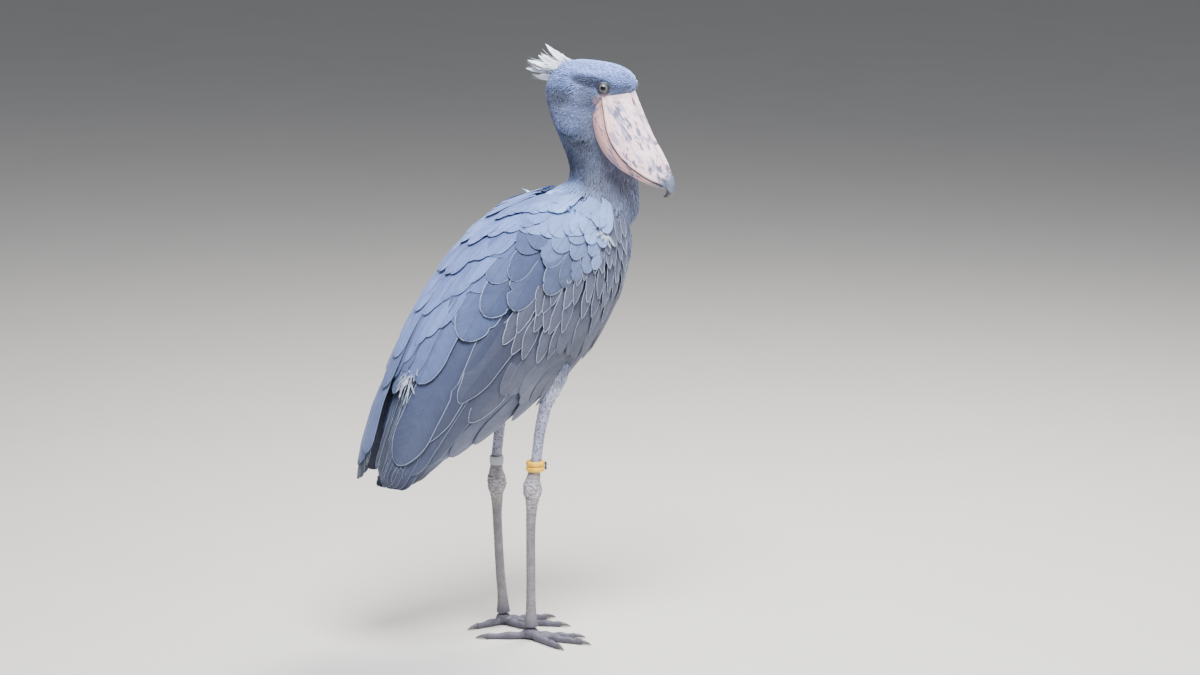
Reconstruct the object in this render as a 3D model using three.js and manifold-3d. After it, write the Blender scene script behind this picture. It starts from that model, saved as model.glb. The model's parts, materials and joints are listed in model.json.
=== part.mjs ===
// A shoebill standing at rest, life size: the body turned away from its gaze, the bill lowered on the breast.
// Millimetres, +Z up. The body faces +X, its left side is +Y, and the soles rest on Z = 0.
import * as THREE from "three";
import { mergeVertices } from "three/addons/utils/BufferGeometryUtils.js";
import Module from "manifold-3d";

const wasm = await Module();
wasm.setup();
const { clamp, degToRad, lerp } = THREE.MathUtils;

// Driving dimensions
const GAP = 0.3; // air between touching pieces
const SIDES = { right: -1, left: 1 }; // the sign of y on each side of the body
const HEAD_YAW = -60; // the gaze, in degrees from the way the body faces
const BILL_PITCH = 50.6; // the bill's droop, in degrees below the level
const EYE = { radius: 11, forward: 64, side: 38, up: 28 }; // in the head's own frame
const TARSUS_RADIUS = 8.6;

// The trunk from the rump to the base of the neck: x and z of its axis, then the reach of the section
// towards the back, towards the belly and to each side.
const TRUNK = [
  { x: -196, z: 420, back: 24, belly: 44, side: 36 },
  { x: -158, z: 463, back: 76, belly: 88, side: 76 },
  { x: -85, z: 545, back: 118, belly: 146, side: 97 },
  { x: 0, z: 632, back: 133, belly: 174, side: 106 },
  { x: 75, z: 712, back: 117, belly: 168, side: 101 },
  { x: 128, z: 775, back: 80, belly: 136, side: 88 },
  { x: 160, z: 820, back: 50, belly: 92, side: 68 },
];

// The sheath that the folded wings make round the trunk, from their tips to the shoulder.
const SHEATH = [
  { x: -285, z: 305, back: 20, belly: 30, side: 60 },
  { x: -235, z: 372, back: 54, belly: 58, side: 75 },
  { x: -165, z: 455, back: 98, belly: 106, side: 96 },
  { x: -85, z: 545, back: 134, belly: 146, side: 112 },
  { x: 0, z: 632, back: 149, belly: 168, side: 120 },
  { x: 75, z: 715, back: 131, belly: 164, side: 115 },
  { x: 135, z: 790, back: 86, belly: 130, side: 97 },
  { x: 175, z: 850, back: 48, belly: 84, side: 72 },
];

// The neck and the head from inside the breast to the crown: level sections with an axis at x and y,
// turned by yaw degrees, and their reach to the front, to the rear and to each side.
const NECK = [
  { z: 740, x: 130, y: 0, yaw: 0, front: 92, rear: 80, side: 80 },
  { z: 790, x: 166, y: 0, yaw: -6, front: 86, rear: 78, side: 80 },
  { z: 830, x: 181, y: 0, yaw: -14, front: 74, rear: 66, side: 72 },
  { z: 868, x: 180, y: -2, yaw: -28, front: 65, rear: 60, side: 63 },
  { z: 905, x: 163, y: -5, yaw: -42, front: 58, rear: 57, side: 56 },
  { z: 934, x: 148, y: -8, yaw: -54, front: 54, rear: 58, side: 53 },
];
const SKULL = new THREE.Vector3(140, -10, 1000);
const HEAD = [
  { z: 934, x: 148, y: -8, yaw: -54, front: 54, rear: 58, side: 53 },
  { z: 962, x: 141, y: -10, yaw: HEAD_YAW, front: 56, rear: 67, side: 55 },
  { z: 1000, x: SKULL.x, y: SKULL.y, yaw: HEAD_YAW, front: 80, rear: 76, side: 58 },
  { z: 1026, x: SKULL.x, y: SKULL.y, yaw: HEAD_YAW, front: 112, rear: 74, side: 57 },
  { z: 1049, x: SKULL.x, y: SKULL.y, yaw: HEAD_YAW, front: 105, rear: 63, side: 48 },
  { z: 1065, x: SKULL.x, y: SKULL.y, yaw: HEAD_YAW, front: 76, rear: 43, side: 33 },
  { z: 1072, x: SKULL.x, y: SKULL.y, yaw: HEAD_YAW, front: 26, rear: 12, side: 11 },
];

// The bill along its axis s: heights of the culmen, the mouth line and the keel, and half the width.
const BILL = [
  { s: -30, culmen: 60, mouth: 8, keel: -34, half: 38 },
  { s: 0, culmen: 51, mouth: -4, keel: -52, half: 46 },
  { s: 32, culmen: 42, mouth: -18, keel: -63, half: 51 },
  { s: 64, culmen: 34.5, mouth: -27, keel: -65.5, half: 50 },
  { s: 96, culmen: 29, mouth: -28, keel: -58, half: 46 },
  { s: 126, culmen: 25, mouth: -22.5, keel: -45, half: 39 },
  { s: 150, culmen: 20, mouth: -15.5, keel: -32, half: 29.5 },
  { s: 168, culmen: 14, mouth: -8.5, keel: -21, half: 19 },
  { s: 178, culmen: 8, mouth: -7, keel: -14, half: 11 },
];

// Each leg from inside the flank to the ankle above the toes: the middle line and its thickness.
const LEGS = {
  right: [
    { x: 58, z: 560, r: 38 },
    { x: 49, z: 500, r: 26 },
    { x: 38, z: 465, r: 17 },
    { x: 28, z: 436, r: 12.2 },
    { x: 17, z: 393, r: 10.2 },
    { x: 10, z: 346, r: 9.8 },
    { x: 4, z: 312, r: 12 },
    { x: 1, z: 292, r: 17 },
    { x: 1, z: 272, r: 15 },
    { x: -1, z: 250, r: 10.4 },
    { x: -3, z: 205, r: TARSUS_RADIUS },
    { x: -3, z: 110, r: TARSUS_RADIUS },
    { x: -3, z: 55, r: 9.6 },
    { x: -3, z: 24, r: 13 },
  ],
  left: [
    { x: 30, z: 560, r: 38 },
    { x: 16, z: 490, r: 26 },
    { x: 8, z: 452, r: 17 },
    { x: 3, z: 424, r: 12.2 },
    { x: -2, z: 386, r: 10.2 },
    { x: -8, z: 338, r: 9.8 },
    { x: -10, z: 305, r: 12 },
    { x: -9, z: 285, r: 17 },
    { x: -9, z: 265, r: 15 },
    { x: -9, z: 243, r: 10.4 },
    { x: -8, z: 200, r: TARSUS_RADIUS },
    { x: -3, z: 110, r: TARSUS_RADIUS },
    { x: 2, z: 55, r: 9.6 },
    { x: 4, z: 24, r: 13 },
  ],
};
const TRUNK_RUN = new THREE.Vector3(0.66, 0, 0.75); // the way the trunk runs, from the rump to the breast
const LEG_SPREAD = 60; // from the middle plane to each leg

// Toes of each foot: heading in degrees from +X, length to the end of the flesh, and how many joints.
const TOES = {
  right: [
    { name: "inner", heading: -28, reach: 82, joints: 2 },
    { name: "middle", heading: -53, reach: 102, joints: 3 },
    { name: "outer", heading: -84, reach: 86, joints: 3 },
    { name: "hind", heading: 150, reach: 84, joints: 1 },
  ],
  left: [
    { name: "inner", heading: -73, reach: 72, joints: 2 },
    { name: "middle", heading: -41, reach: 110, joints: 3 },
    { name: "outer", heading: -6, reach: 88, joints: 3 },
    { name: "hind", heading: 186, reach: 62, joints: 1 },
  ],
};

// A closed geometry as a solid with its faces out.
function solid(geometry) {
  const bare = new THREE.BufferGeometry();
  bare.setAttribute("position", geometry.getAttribute("position"));
  bare.setIndex(geometry.index);
  const merged = mergeVertices(bare, 1e-4);
  const vertProperties = new Float32Array(merged.attributes.position.array);
  const triVerts = new Uint32Array(merged.index.array);
  const made = new wasm.Manifold(new wasm.Mesh({ numProp: 3, vertProperties, triVerts }));
  if (made.volume() > 0) return made;
  for (let i = 0; i < triVerts.length; i += 3) {
    [triVerts[i + 1], triVerts[i + 2]] = [triVerts[i + 2], triVerts[i + 1]];
  }
  return new wasm.Manifold(new wasm.Mesh({ numProp: 3, vertProperties, triVerts }));
}

// The largest closed surface of a solid, without loose scraps.
function largest(made) {
  return made.decompose().reduce((best, piece) => (piece.volume() > best.volume() ? piece : best));
}

function fuse(pieces) {
  return pieces.reduce((whole, piece) => whole.add(piece));
}

// A box from one corner to the other.
function block(low, high) {
  const size = new THREE.Vector3().subVectors(high, low);
  const box = new THREE.BoxGeometry(size.x, size.y, size.z);
  const middle = new THREE.Vector3().addVectors(low, high).multiplyScalar(0.5);
  box.translate(middle.x, middle.y, middle.z);
  return solid(box);
}

// A ball, stretched along each axis, at a point.
function ball(centre, radii, columns = 16, rows = 10) {
  const sphere = new THREE.SphereGeometry(1, columns, rows);
  sphere.scale(radii.x, radii.y, radii.z);
  sphere.translate(centre.x, centre.y, centre.z);
  return solid(sphere);
}

// A ball, stretched along three directions of its own, at a point.
function egg(centre, [along, across, up], [a, b, c], columns = 14, rows = 8) {
  const sphere = new THREE.SphereGeometry(1, columns, rows);
  const stretch = new THREE.Matrix4().makeBasis(
    along.clone().multiplyScalar(a),
    across.clone().multiplyScalar(b),
    up.clone().multiplyScalar(c),
  );
  sphere.applyMatrix4(stretch.setPosition(centre));
  return solid(sphere);
}

// Equal rings of points joined into a closed skin, with a flat fan over each end.
function skin(rings) {
  const size = rings[0].length;
  const positions = rings.flat().flatMap((p) => [p.x, p.y, p.z]);
  const index = [];
  for (let r = 0; r + 1 < rings.length; r++) {
    for (let i = 0; i < size; i++) {
      const a = r * size + i;
      const b = r * size + ((i + 1) % size);
      index.push(a, b, b + size, a, b + size, a + size);
    }
  }
  const end = (rings.length - 1) * size;
  for (let i = 1; i + 1 < size; i++) {
    index.push(0, i + 1, i);
    index.push(end, end + i, end + i + 1);
  }
  const geometry = new THREE.BufferGeometry();
  geometry.setAttribute("position", new THREE.Float32BufferAttribute(positions, 3));
  geometry.setIndex(index);
  return geometry;
}

// Smooth values between stations, for t from 0 at the first station, or just before it, to 1 at the last.
function between(stations, t) {
  const last = stations.length - 1;
  const spot = clamp(t, -0.08, 1) * last;
  const i = clamp(Math.floor(spot), 0, last - 1);
  const f = spot - i;
  const at = (k) => stations[clamp(k, 0, last)];
  const value = {};
  for (const key of Object.keys(stations[0])) {
    const [a, b, c, d] = [at(i - 1)[key], at(i)[key], at(i + 1)[key], at(i + 2)[key]];
    value[key] =
      0.5 * (2 * b + (c - a) * f + (2 * a - 5 * b + 4 * c - d) * f * f + (3 * b - a - 3 * c + d) * f ** 3);
  }
  return value;
}

// Draws from 0 to 1 that are the same on every run.
function draws(seed) {
  let state = seed;
  return () => {
    state = (state * 1664525 + 1013904223) % 4294967296;
    return state / 4294967296;
  };
}

// A point and its outward direction on the trunk or the sheath. Angle 0 is the middle of the back,
// 90 the flank and 180 the middle of the belly, on the side of y that the sign gives.
function around(stations, t, angle, sign, grow = 0) {
  const here = between(stations, t);
  const before = between(stations, t - 1e-3);
  const after = between(stations, t + 1e-3);
  const along = new THREE.Vector3(after.x - before.x, 0, after.z - before.z).normalize();
  const up = new THREE.Vector3(-along.z, 0, along.x);
  const across = new THREE.Vector3(0, sign, 0);
  const [c, s] = [Math.cos(degToRad(angle)), Math.sin(degToRad(angle))];
  const reach = c > 0 ? here.back : here.belly;
  const out = new THREE.Vector3()
    .addScaledVector(up, c * here.side)
    .addScaledVector(across, s * reach)
    .normalize();
  const point = new THREE.Vector3(here.x, 0, here.z)
    .addScaledVector(up, reach * c)
    .addScaledVector(across, here.side * s)
    .addScaledVector(out, grow);
  return { point, out };
}

// Which end a step is at: -1 at the first, 1 at the last and 0 between them.
function endOf(step, steps) {
  return Number(step === steps) - Number(step === 0);
}

// A closed form through stations along the trunk's way, grown outwards by a distance.
function bodyForm(stations, steps, columns, grow) {
  const rings = [];
  for (let i = 0; i <= steps; i++) {
    const ring = [];
    const past = TRUNK_RUN.clone().multiplyScalar(grow * endOf(i, steps));
    for (let k = 0; k < columns; k++) {
      ring.push(around(stations, i / steps, (k * 360) / columns, 1, grow).point.add(past));
    }
    rings.push(ring);
  }
  return solid(skin(rings));
}

// A point of the neck or head. Angle 0 faces the bill, and 90 is the bird's own left.
function neckPoint(stations, t, angle, grow = 0) {
  const here = between(stations, t);
  const radians = degToRad(angle);
  const reach = (Math.cos(radians) > 0 ? here.front : here.rear) + grow;
  const forward = reach * Math.cos(radians);
  const left = (here.side + grow) * Math.sin(radians);
  const yaw = degToRad(here.yaw);
  return new THREE.Vector3(
    here.x + forward * Math.cos(yaw) - left * Math.sin(yaw),
    here.y + forward * Math.sin(yaw) + left * Math.cos(yaw),
    here.z,
  );
}

function neckForm(stations, steps, columns, grow) {
  const rings = [];
  for (let i = 0; i <= steps; i++) {
    const ring = [];
    for (let k = 0; k < columns; k++) {
      const point = neckPoint(stations, i / steps, (k * 360) / columns, grow);
      point.z += grow * endOf(i, steps);
      ring.push(point);
    }
    rings.push(ring);
  }
  return solid(skin(rings));
}

// From the head's own frame, forward, left and up from the middle of the skull, to the bird's.
function ofHead(forward, left, up) {
  const yaw = degToRad(HEAD_YAW);
  return new THREE.Vector3(
    SKULL.x + forward * Math.cos(yaw) - left * Math.sin(yaw),
    SKULL.y + forward * Math.sin(yaw) + left * Math.cos(yaw),
    SKULL.z + up,
  );
}

// From the bill's frame, along its axis, left and above the axis, to the bird's.
const BILL_ROOT = { forward: 70, up: -10 };
function ofBill(s, left, above) {
  const pitch = degToRad(BILL_PITCH);
  return ofHead(
    BILL_ROOT.forward + s * Math.cos(pitch) + above * Math.sin(pitch),
    left,
    BILL_ROOT.up - s * Math.sin(pitch) + above * Math.cos(pitch),
  );
}

// Three directions at right angles, of which the first is the way given.
function directions(way, upwards = new THREE.Vector3(0, 0, 1)) {
  const along = way.clone().normalize();
  const across = new THREE.Vector3().crossVectors(upwards, along).normalize();
  return [along, across, new THREE.Vector3().crossVectors(along, across)];
}

// The eyes, their lids and the brows over them. A side is -1 for the bird's right and 1 for its left.
const LID = { major: 10.2, minor: 2.3, gaze: [0.42, 0.9, 0.12] };
const BROW = { forward: 62, side: 41, up: 42, radii: [25, 8, 6] };
function eyePlace(sign) {
  return ofHead(EYE.forward, EYE.side * sign, EYE.up);
}
function eyeBall(sign, grow) {
  const r = EYE.radius + grow;
  return ball(eyePlace(sign), new THREE.Vector3(r, r, r), 14, 8);
}
function lids(sign) {
  const [forward, side, up] = LID.gaze;
  const gaze = ofHead(forward, side * sign, up).sub(SKULL);
  const ring = new THREE.TorusGeometry(LID.major, LID.minor, 5, 14);
  const [along, across, upright] = directions(gaze);
  const depth = EYE.radius * 0.34;
  const turn = new THREE.Matrix4().makeBasis(across, upright, along);
  ring.applyMatrix4(turn.setPosition(eyePlace(sign).addScaledVector(along, depth)));
  return solid(ring);
}
function brow(sign) {
  const forward = ofHead(1, -0.28 * sign, -0.12).sub(SKULL);
  return egg(ofHead(BROW.forward, BROW.side * sign, BROW.up), directions(forward), BROW.radii, 10, 6);
}

// The crest on the back of the crown: loose plumes, each from its root to its tip in the head's frame.
const PLUMES = [
  { root: [-40, 4, 48], tip: [-128, 6, 52], half: 6, lean: 0.8 },
  { root: [-40, -8, 52], tip: [-112, -22, 68], half: 5.5, lean: -0.9 },
  { root: [-38, 14, 50], tip: [-104, 30, 60], half: 5.5, lean: 0.6 },
  { root: [-30, 2, 56], tip: [-90, 8, 94], half: 5.5, lean: -0.7 },
  { root: [-32, -12, 54], tip: [-80, -26, 82], half: 5, lean: 0.9 },
  { root: [-28, 12, 56], tip: [-74, 22, 82], half: 5, lean: -0.6 },
  { root: [-44, -6, 40], tip: [-104, -14, 36], half: 5, lean: 0.7 },
];
function crest() {
  return fuse(
    PLUMES.map(({ root, tip, half, lean }) => {
      const [from, to] = [ofHead(...root), ofHead(...tip)];
      const out = ofHead(-0.2, lean, 0.6).sub(SKULL).normalize();
      const bend = from.distanceTo(to) * 0.1;
      const at = (s) => ({
        point: new THREE.Vector3().lerpVectors(from, to, s).addScaledVector(out, -bend * 4 * s * (1 - s)),
        out,
      });
      return vane({ at, half, pointed: 0.7, thick: 1.5 });
    }),
  );
}

// The nostrils: a slit on each side of the ridge, close under the forehead.
const NOSTRIL = { s: 17, side: 9, radii: [9, 1.4, 6] };
function nostril(sign) {
  const { s, side, radii } = NOSTRIL;
  const here = between(BILL, 0.22);
  const centre = ofBill(s, side * sign, here.culmen);
  const along = ofBill(1, 0.12 * sign, -0.2).sub(ofBill(0, 0, 0));
  return egg(centre, directions(along), radii, 10, 6);
}

// The upper half of the bill: a ridged roof over the mouth line, with the nail hooked at its end.
const RIDGE = { height: 2.6, half: 5 };
const BILL_STEPS = 12;
const BILL_SHARES = [1, 0.95, 0.8, 0.55, 0.3, 0.1, 0, -0.1, -0.3, -0.55, -0.8, -0.95, -1];
function upperBill() {
  const rings = [];
  for (let i = 0; i <= BILL_STEPS; i++) {
    const here = between(BILL, i / BILL_STEPS);
    rings.push(
      BILL_SHARES.map((share) => {
        const left = here.half * share;
        const vault = (1 - Math.abs(share) ** 1.35) ** 0.75;
        const rise = RIDGE.height * Math.exp(-((left / RIDGE.half) ** 2));
        return ofBill(here.s, left, here.mouth + (here.culmen - here.mouth - RIDGE.height) * vault + rise);
      }),
    );
  }
  return solid(skin(rings)).add(billNail(0));
}

// The nail, bent down past the end of the lower bill.
function billNail(grow) {
  const rings = [];
  const bend = [
    { s: 160, above: 3, half: 17, deep: 10, turn: 0 },
    { s: 174, above: 0, half: 13.5, deep: 9.5, turn: 12 },
    { s: 184, above: -5, half: 9.5, deep: 8, turn: 40 },
    { s: 188, above: -13, half: 6, deep: 5.5, turn: 75 },
    { s: 188, above: -20, half: 3.4, deep: 3, turn: 95 },
    { s: 186.5, above: -26, half: 1, deep: 0.8, turn: 105 },
  ];
  for (const { s, above, half, deep, turn } of bend) {
    const ring = [];
    for (let k = 0; k < 12; k++) {
      const angle = degToRad(k * 30);
      const lift = (deep + grow) * Math.sin(angle);
      ring.push(
        ofBill(
          s + lift * Math.sin(degToRad(turn)),
          (half + grow) * Math.cos(angle),
          above + lift * Math.cos(degToRad(turn)),
        ),
      );
    }
    rings.push(ring);
  }
  return solid(skin(rings));
}

// The lower half of the bill: a shallow boat with its rim just under the mouth line.
function lowerBill() {
  const rings = [];
  const inset = 1.2;
  const angles = [0, 180, 196, 214, 232, 250, 270, 290, 308, 326, 344];
  for (let i = 0; i <= BILL_STEPS; i++) {
    const here = between(BILL, i / BILL_STEPS);
    rings.push(
      angles.map((angle) => {
        const [c, s] = [Math.cos(degToRad(angle)), Math.sin(degToRad(angle))];
        const left = (here.half - inset) * Math.sign(c) * Math.abs(c) ** 0.7;
        const rim = here.mouth - GAP;
        return ofBill(here.s, left, rim + (here.keel - rim) * Math.abs(s) ** 0.85 * (s < -1e-9 ? 1 : 0));
      }),
    );
  }
  return solid(skin(rings));
}

// A feather: a thin plate through rings of five points, flat below and raised along its shaft, which is
// narrow at its root and rounds off, or comes to a point, at its tip.
const VANE_SPANS = [0, 0.42, 0.84, 1];
function vane({ at, half, pointed = 0, thick = 1.6, deep = thick / 2, curve = 0, tilt = 0 }) {
  const rings = VANE_SPANS.map((s) => {
    const { point, out } = at(s);
    const ahead = at(Math.min(s + 0.02, 1)).point;
    const behind = at(Math.max(s - 0.02, 0)).point;
    const along = new THREE.Vector3().subVectors(ahead, behind).normalize();
    const across = new THREE.Vector3().crossVectors(along, out).normalize();
    const up = new THREE.Vector3().crossVectors(across, along).normalize();
    const round = Math.sqrt(Math.max(1 - ((s - 0.5) / 0.5) ** 2, 0));
    const full = s < 0.5 ? lerp(0.62, 1, s / 0.5) : lerp(round, (1 - s) / 0.5, pointed);
    const width = half * Math.max(full, 0.12);
    const fall = (width * width * curve) / 2;
    const spot = (side, rise) => {
      const lift = rise - (side ? fall : 0) + side * tilt * width;
      return new THREE.Vector3().copy(point).addScaledVector(across, side * width).addScaledVector(up, lift);
    };
    return [spot(-1, -deep), spot(-1, thick / 4), spot(0, thick / 2), spot(1, thick / 4), spot(1, -deep)];
  });
  return solid(skin(rings));
}

// A feather that lies on the sheath from its root to its tip, each given as a place along the body and
// an angle round it, rising from one height over the sheath to another.
function sheathVane(sign, { root, tip, half, rise, pointed, deep, tilt = 0.06 }) {
  return vane({
    at: (s) => around(SHEATH, lerp(root[0], tip[0], s), lerp(root[1], tip[1], s), sign, lerp(-3.5, rise, s ** 0.7)),
    half,
    pointed,
    thick: 2,
    deep,
    curve: 1 / 130,
    tilt: tilt * sign,
  });
}

// Tiers of the folded wing, from the deepest to the one on top. Each runs from its first feather to its
// last, with the places of roots and tips, half widths, and the height of the tips over the sheath.
const TIERS = [
  { count: 4, root: [[0.42, 50], [0.36, 92]], tip: [[0.02, 44], [0.12, 100]], half: [20, 18], rise: 0.5, pointed: 0.4 },
  { count: 5, root: [[0.52, 102], [0.5, 62]], tip: [[0.31, 102], [0.14, 66]], half: [18, 23], rise: 2.4, pointed: 0.4 },
  { count: 4, root: [[0.56, 60], [0.5, 16]], tip: [[0.26, 66], [0.08, 34]], half: [23, 20], rise: 4.6, pointed: 0.3 },
  { count: 7, root: [[0.77, 112], [0.56, 82]], tip: [[0.69, 134], [0.42, 90]], half: [11, 15], rise: 2.8, deep: 3, pointed: 0.6 },
  { count: 6, root: [[0.78, 98], [0.68, 34]], tip: [[0.68, 90], [0.43, 44]], half: [14, 27], rise: 6.4, deep: 4, pointed: 0.1 },
  { count: 4, root: [[0.8, 88], [0.76, 40]], tip: [[0.7, 76], [0.6, 44]], half: [16, 21], rise: 8.8, deep: 4, pointed: 0.1 },
  { count: 3, root: [[0.64, 25], [0.5, 8]], tip: [[0.4, 27], [0.2, 13]], half: [20, 21], rise: 7.4, deep: 4, pointed: 0.35 },
  { count: 3, root: [[0.84, 30], [0.76, 8]], tip: [[0.62, 29], [0.5, 10]], half: [17, 18], rise: 9.6, deep: 4, pointed: 0.2 },
];

// The wing under its feathers: a shell on the sheath, from the wrist to the hand's end.
const WING_EDGES = [
  { t: 0.16, top: 26, low: 80 },
  { t: 0.3, top: 12, low: 92 },
  { t: 0.46, top: 8, low: 98 },
  { t: 0.62, top: 9, low: 106 },
  { t: 0.74, top: 14, low: 108 },
  { t: 0.83, top: 40, low: 92 },
];
const WING_DEPTH = 15;
function wingShell(sign) {
  const [steps, columns] = [9, 6];
  const rings = [];
  for (let i = 0; i <= steps; i++) {
    const { t, top, low } = between(WING_EDGES, i / steps);
    const taper = Math.sin(Math.PI * clamp(i / steps, 0.06, 0.94)) ** 0.5;
    const depth = lerp(5, WING_DEPTH, clamp((t - 0.2) / 0.15, 0, 1));
    const row = (grow) =>
      Array.from({ length: columns + 1 }, (_, k) => around(SHEATH, t, lerp(top, low, k / columns), sign, grow).point);
    rings.push([...row(0), ...row(-depth * taper).reverse()]);
  }
  return solid(skin(rings));
}

const WING_TIPS = { right: 0, left: -0.045 }; // how much further the tips reach along the sheath
function wing(side, seed) {
  const sign = SIDES[side];
  const draw = draws(seed);
  const vary = (share) => 1 + share * (2 * draw() - 1);
  const feathers = [wingShell(sign)];
  for (const tier of TIERS) {
    for (let i = 0; i < tier.count; i++) {
      const f = tier.count > 1 ? i / (tier.count - 1) : 0;
      const along = (ends) => [lerp(ends[0][0], ends[1][0], f), lerp(ends[0][1], ends[1][1], f)];
      const [root, tip] = [along(tier.root), along(tier.tip)];
      tip[0] += WING_TIPS[side] * clamp((0.3 - tip[0]) / 0.2, 0, 1);
      const reach = vary(0.06);
      feathers.push(
        sheathVane(sign, {
          root,
          tip: [lerp(root[0], tip[0], reach), lerp(root[1], tip[1], reach)],
          half: lerp(tier.half[0], tier.half[1], f) * vary(0.05),
          rise: tier.rise,
          deep: tier.deep,
          pointed: tier.pointed,
        }),
      );
    }
  }
  return fuse(feathers);
}

// The tail: a wedge on the rump that carries the fanned feathers, and the coverts under them.
const TAIL_WEDGE = [
  { x: -212, z: 362, back: 8, belly: 12, side: 42 },
  { x: -185, z: 396, back: 22, belly: 32, side: 54 },
  { x: -150, z: 440, back: 36, belly: 56, side: 58 },
];
const TAIL_ROOT = new THREE.Vector3(-168, 0, 436);
const TAIL_TIERS = [
  { count: 12, start: [0, 20, 4], end: [-119, 58, -123], graded: 0.26, stack: -1.9, half: 15, pointed: 0.2 },
  { count: 4, start: [10, 34, -36], end: [-36, 54, -86], graded: 0.1, stack: 1.9, half: 19, pointed: 0.3 },
];
function tail() {
  const pieces = [bodyForm(TAIL_WEDGE, 4, 14, 0)];
  for (const { count, start, end, graded, stack, half, pointed } of TAIL_TIERS) {
    const middle = (count - 1) / 2;
    for (let i = 0; i < count; i++) {
      const off = (i - middle) / middle;
      const step = stack * Math.abs(i - middle + 0.25);
      const root = TAIL_ROOT.clone().add(new THREE.Vector3(start[0], start[1] * off, start[2] + step));
      const tip = TAIL_ROOT.clone().add(new THREE.Vector3(end[0], end[1] * off, end[2] + step));
      tip.lerp(root, graded * off * off);
      const out = new THREE.Vector3(-0.75, 0.5 * off, 0.66).normalize();
      pieces.push(
        vane({ at: (s) => ({ point: new THREE.Vector3().lerpVectors(root, tip, s), out }), half, pointed, thick: 1.8 }),
      );
    }
  }
  return fuse(pieces);
}

// A tube of level-cut rings along a leg's stations, from one share of its length to another.
function legPoint(stations, t, sign) {
  const here = between(stations, t);
  return { point: new THREE.Vector3(here.x, LEG_SPREAD * sign, here.z), r: here.r };
}
function legTube(stations, sign, from, to, steps, grow = 0, columns = 12) {
  const rings = [];
  for (let i = 0; i <= steps; i++) {
    const t = lerp(from, to, i / steps);
    const { point, r } = legPoint(stations, t, sign);
    const reach = r + grow;
    const ring = [];
    for (let k = 0; k < columns; k++) {
      const angle = (k * 2 * Math.PI) / columns;
      ring.push(new THREE.Vector3(point.x + reach * Math.cos(angle), point.y + reach * Math.sin(angle), point.z));
    }
    rings.push(ring);
  }
  return solid(skin(rings));
}

// The part of a solid between two heights.
const FAR = 3000;
function slice(made, low, high) {
  return made.intersect(block(new THREE.Vector3(-FAR, -FAR, low), new THREE.Vector3(FAR, FAR, high)));
}

// A toe: a tube with a swelling at each joint, flat where it meets the ground.
const TOE = { root: 9.4, tip: 6.2, swell: 0.16 };
function toe(centre, { heading, reach, joints }) {
  const angle = degToRad(heading);
  const ahead = new THREE.Vector3(Math.cos(angle), Math.sin(angle), 0);
  const across = new THREE.Vector3(-ahead.y, ahead.x, 0);
  const rings = [];
  const steps = 2 * (joints + 1);
  for (let i = 0; i <= steps; i++) {
    const s = i / steps;
    const joint = Math.cos(2 * Math.PI * s * (joints + 1));
    const r = lerp(TOE.root, TOE.tip, s) * (1 - TOE.swell / 2 + (TOE.swell / 2) * joint);
    const lift = r * 0.86 + 7 * Math.max(0, 1 - s * 3.4) ** 1.5;
    const ring = [];
    for (let k = 0; k < 6; k++) {
      const turn = ((k + 0.5) * Math.PI) / 3;
      const point = centre.clone().addScaledVector(ahead, reach * s);
      point.addScaledVector(across, r * Math.cos(turn));
      point.z = lift + r * Math.sin(turn);
      ring.push(point);
    }
    rings.push(ring);
  }
  return solid(skin(rings));
}

const CLAW = { length: 20, root: 4.3, droop: 2.2 };
function claw(centre, { heading, reach }) {
  const angle = degToRad(heading);
  const ahead = new THREE.Vector3(Math.cos(angle), Math.sin(angle), 0);
  const across = new THREE.Vector3(-ahead.y, ahead.x, 0);
  const rings = [];
  for (const s of [0, 0.4, 0.75, 1]) {
    const r = CLAW.root * (1 - 0.86 * s ** 1.4);
    const ring = [];
    for (let k = 0; k < 7; k++) {
      const turn = (k * 2 * Math.PI) / 7;
      const point = centre.clone().addScaledVector(ahead, reach + GAP + CLAW.length * s);
      point.addScaledVector(across, r * 0.8 * Math.cos(turn));
      point.z = CLAW.root + 1.6 - CLAW.droop * s * s * 2 + r * Math.sin(turn);
      ring.push(point);
    }
    rings.push(ring);
  }
  return solid(skin(rings));
}

// A ring round a leg, turned on its axis, of two rolls one over the other or of one flat strip.
function band({ side, z, tall, outer, inner, rolls }) {
  const stations = LEGS[side];
  const place = legPoint(stations, shareAt(stations, z), SIDES[side]).point;
  const profile = [new THREE.Vector2(inner, -tall / 2), new THREE.Vector2(inner, tall / 2)];
  const points = rolls > 1 ? 4 : 1;
  for (let roll = rolls - 1; roll >= 0; roll--) {
    const middle = tall * ((roll + 0.5) / rolls - 0.5);
    for (let k = 0; k <= points; k++) {
      const swing = (Math.PI * (k / points) - Math.PI / 2) * (rolls > 1 ? 0.9 : 1);
      const out = rolls > 1 ? lerp(0.45, 1, Math.cos(swing)) : 1;
      const rise = (-tall / rolls / 2) * Math.sin(swing);
      profile.push(new THREE.Vector2(lerp(inner, outer, out), middle + rise));
    }
  }
  profile.push(profile[0].clone());
  const lathe = new THREE.LatheGeometry(profile, 14);
  lathe.rotateX(Math.PI / 2);
  lathe.translate(place.x, place.y, z);
  return solid(lathe);
}

// The share of a leg's stations at which its middle line passes a height.
function shareAt(stations, z) {
  let [low, high] = [0, 1];
  for (let i = 0; i < 40; i++) {
    const middle = (low + high) / 2;
    if (between(stations, middle).z > z) low = middle;
    else high = middle;
  }
  return low;
}

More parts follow.
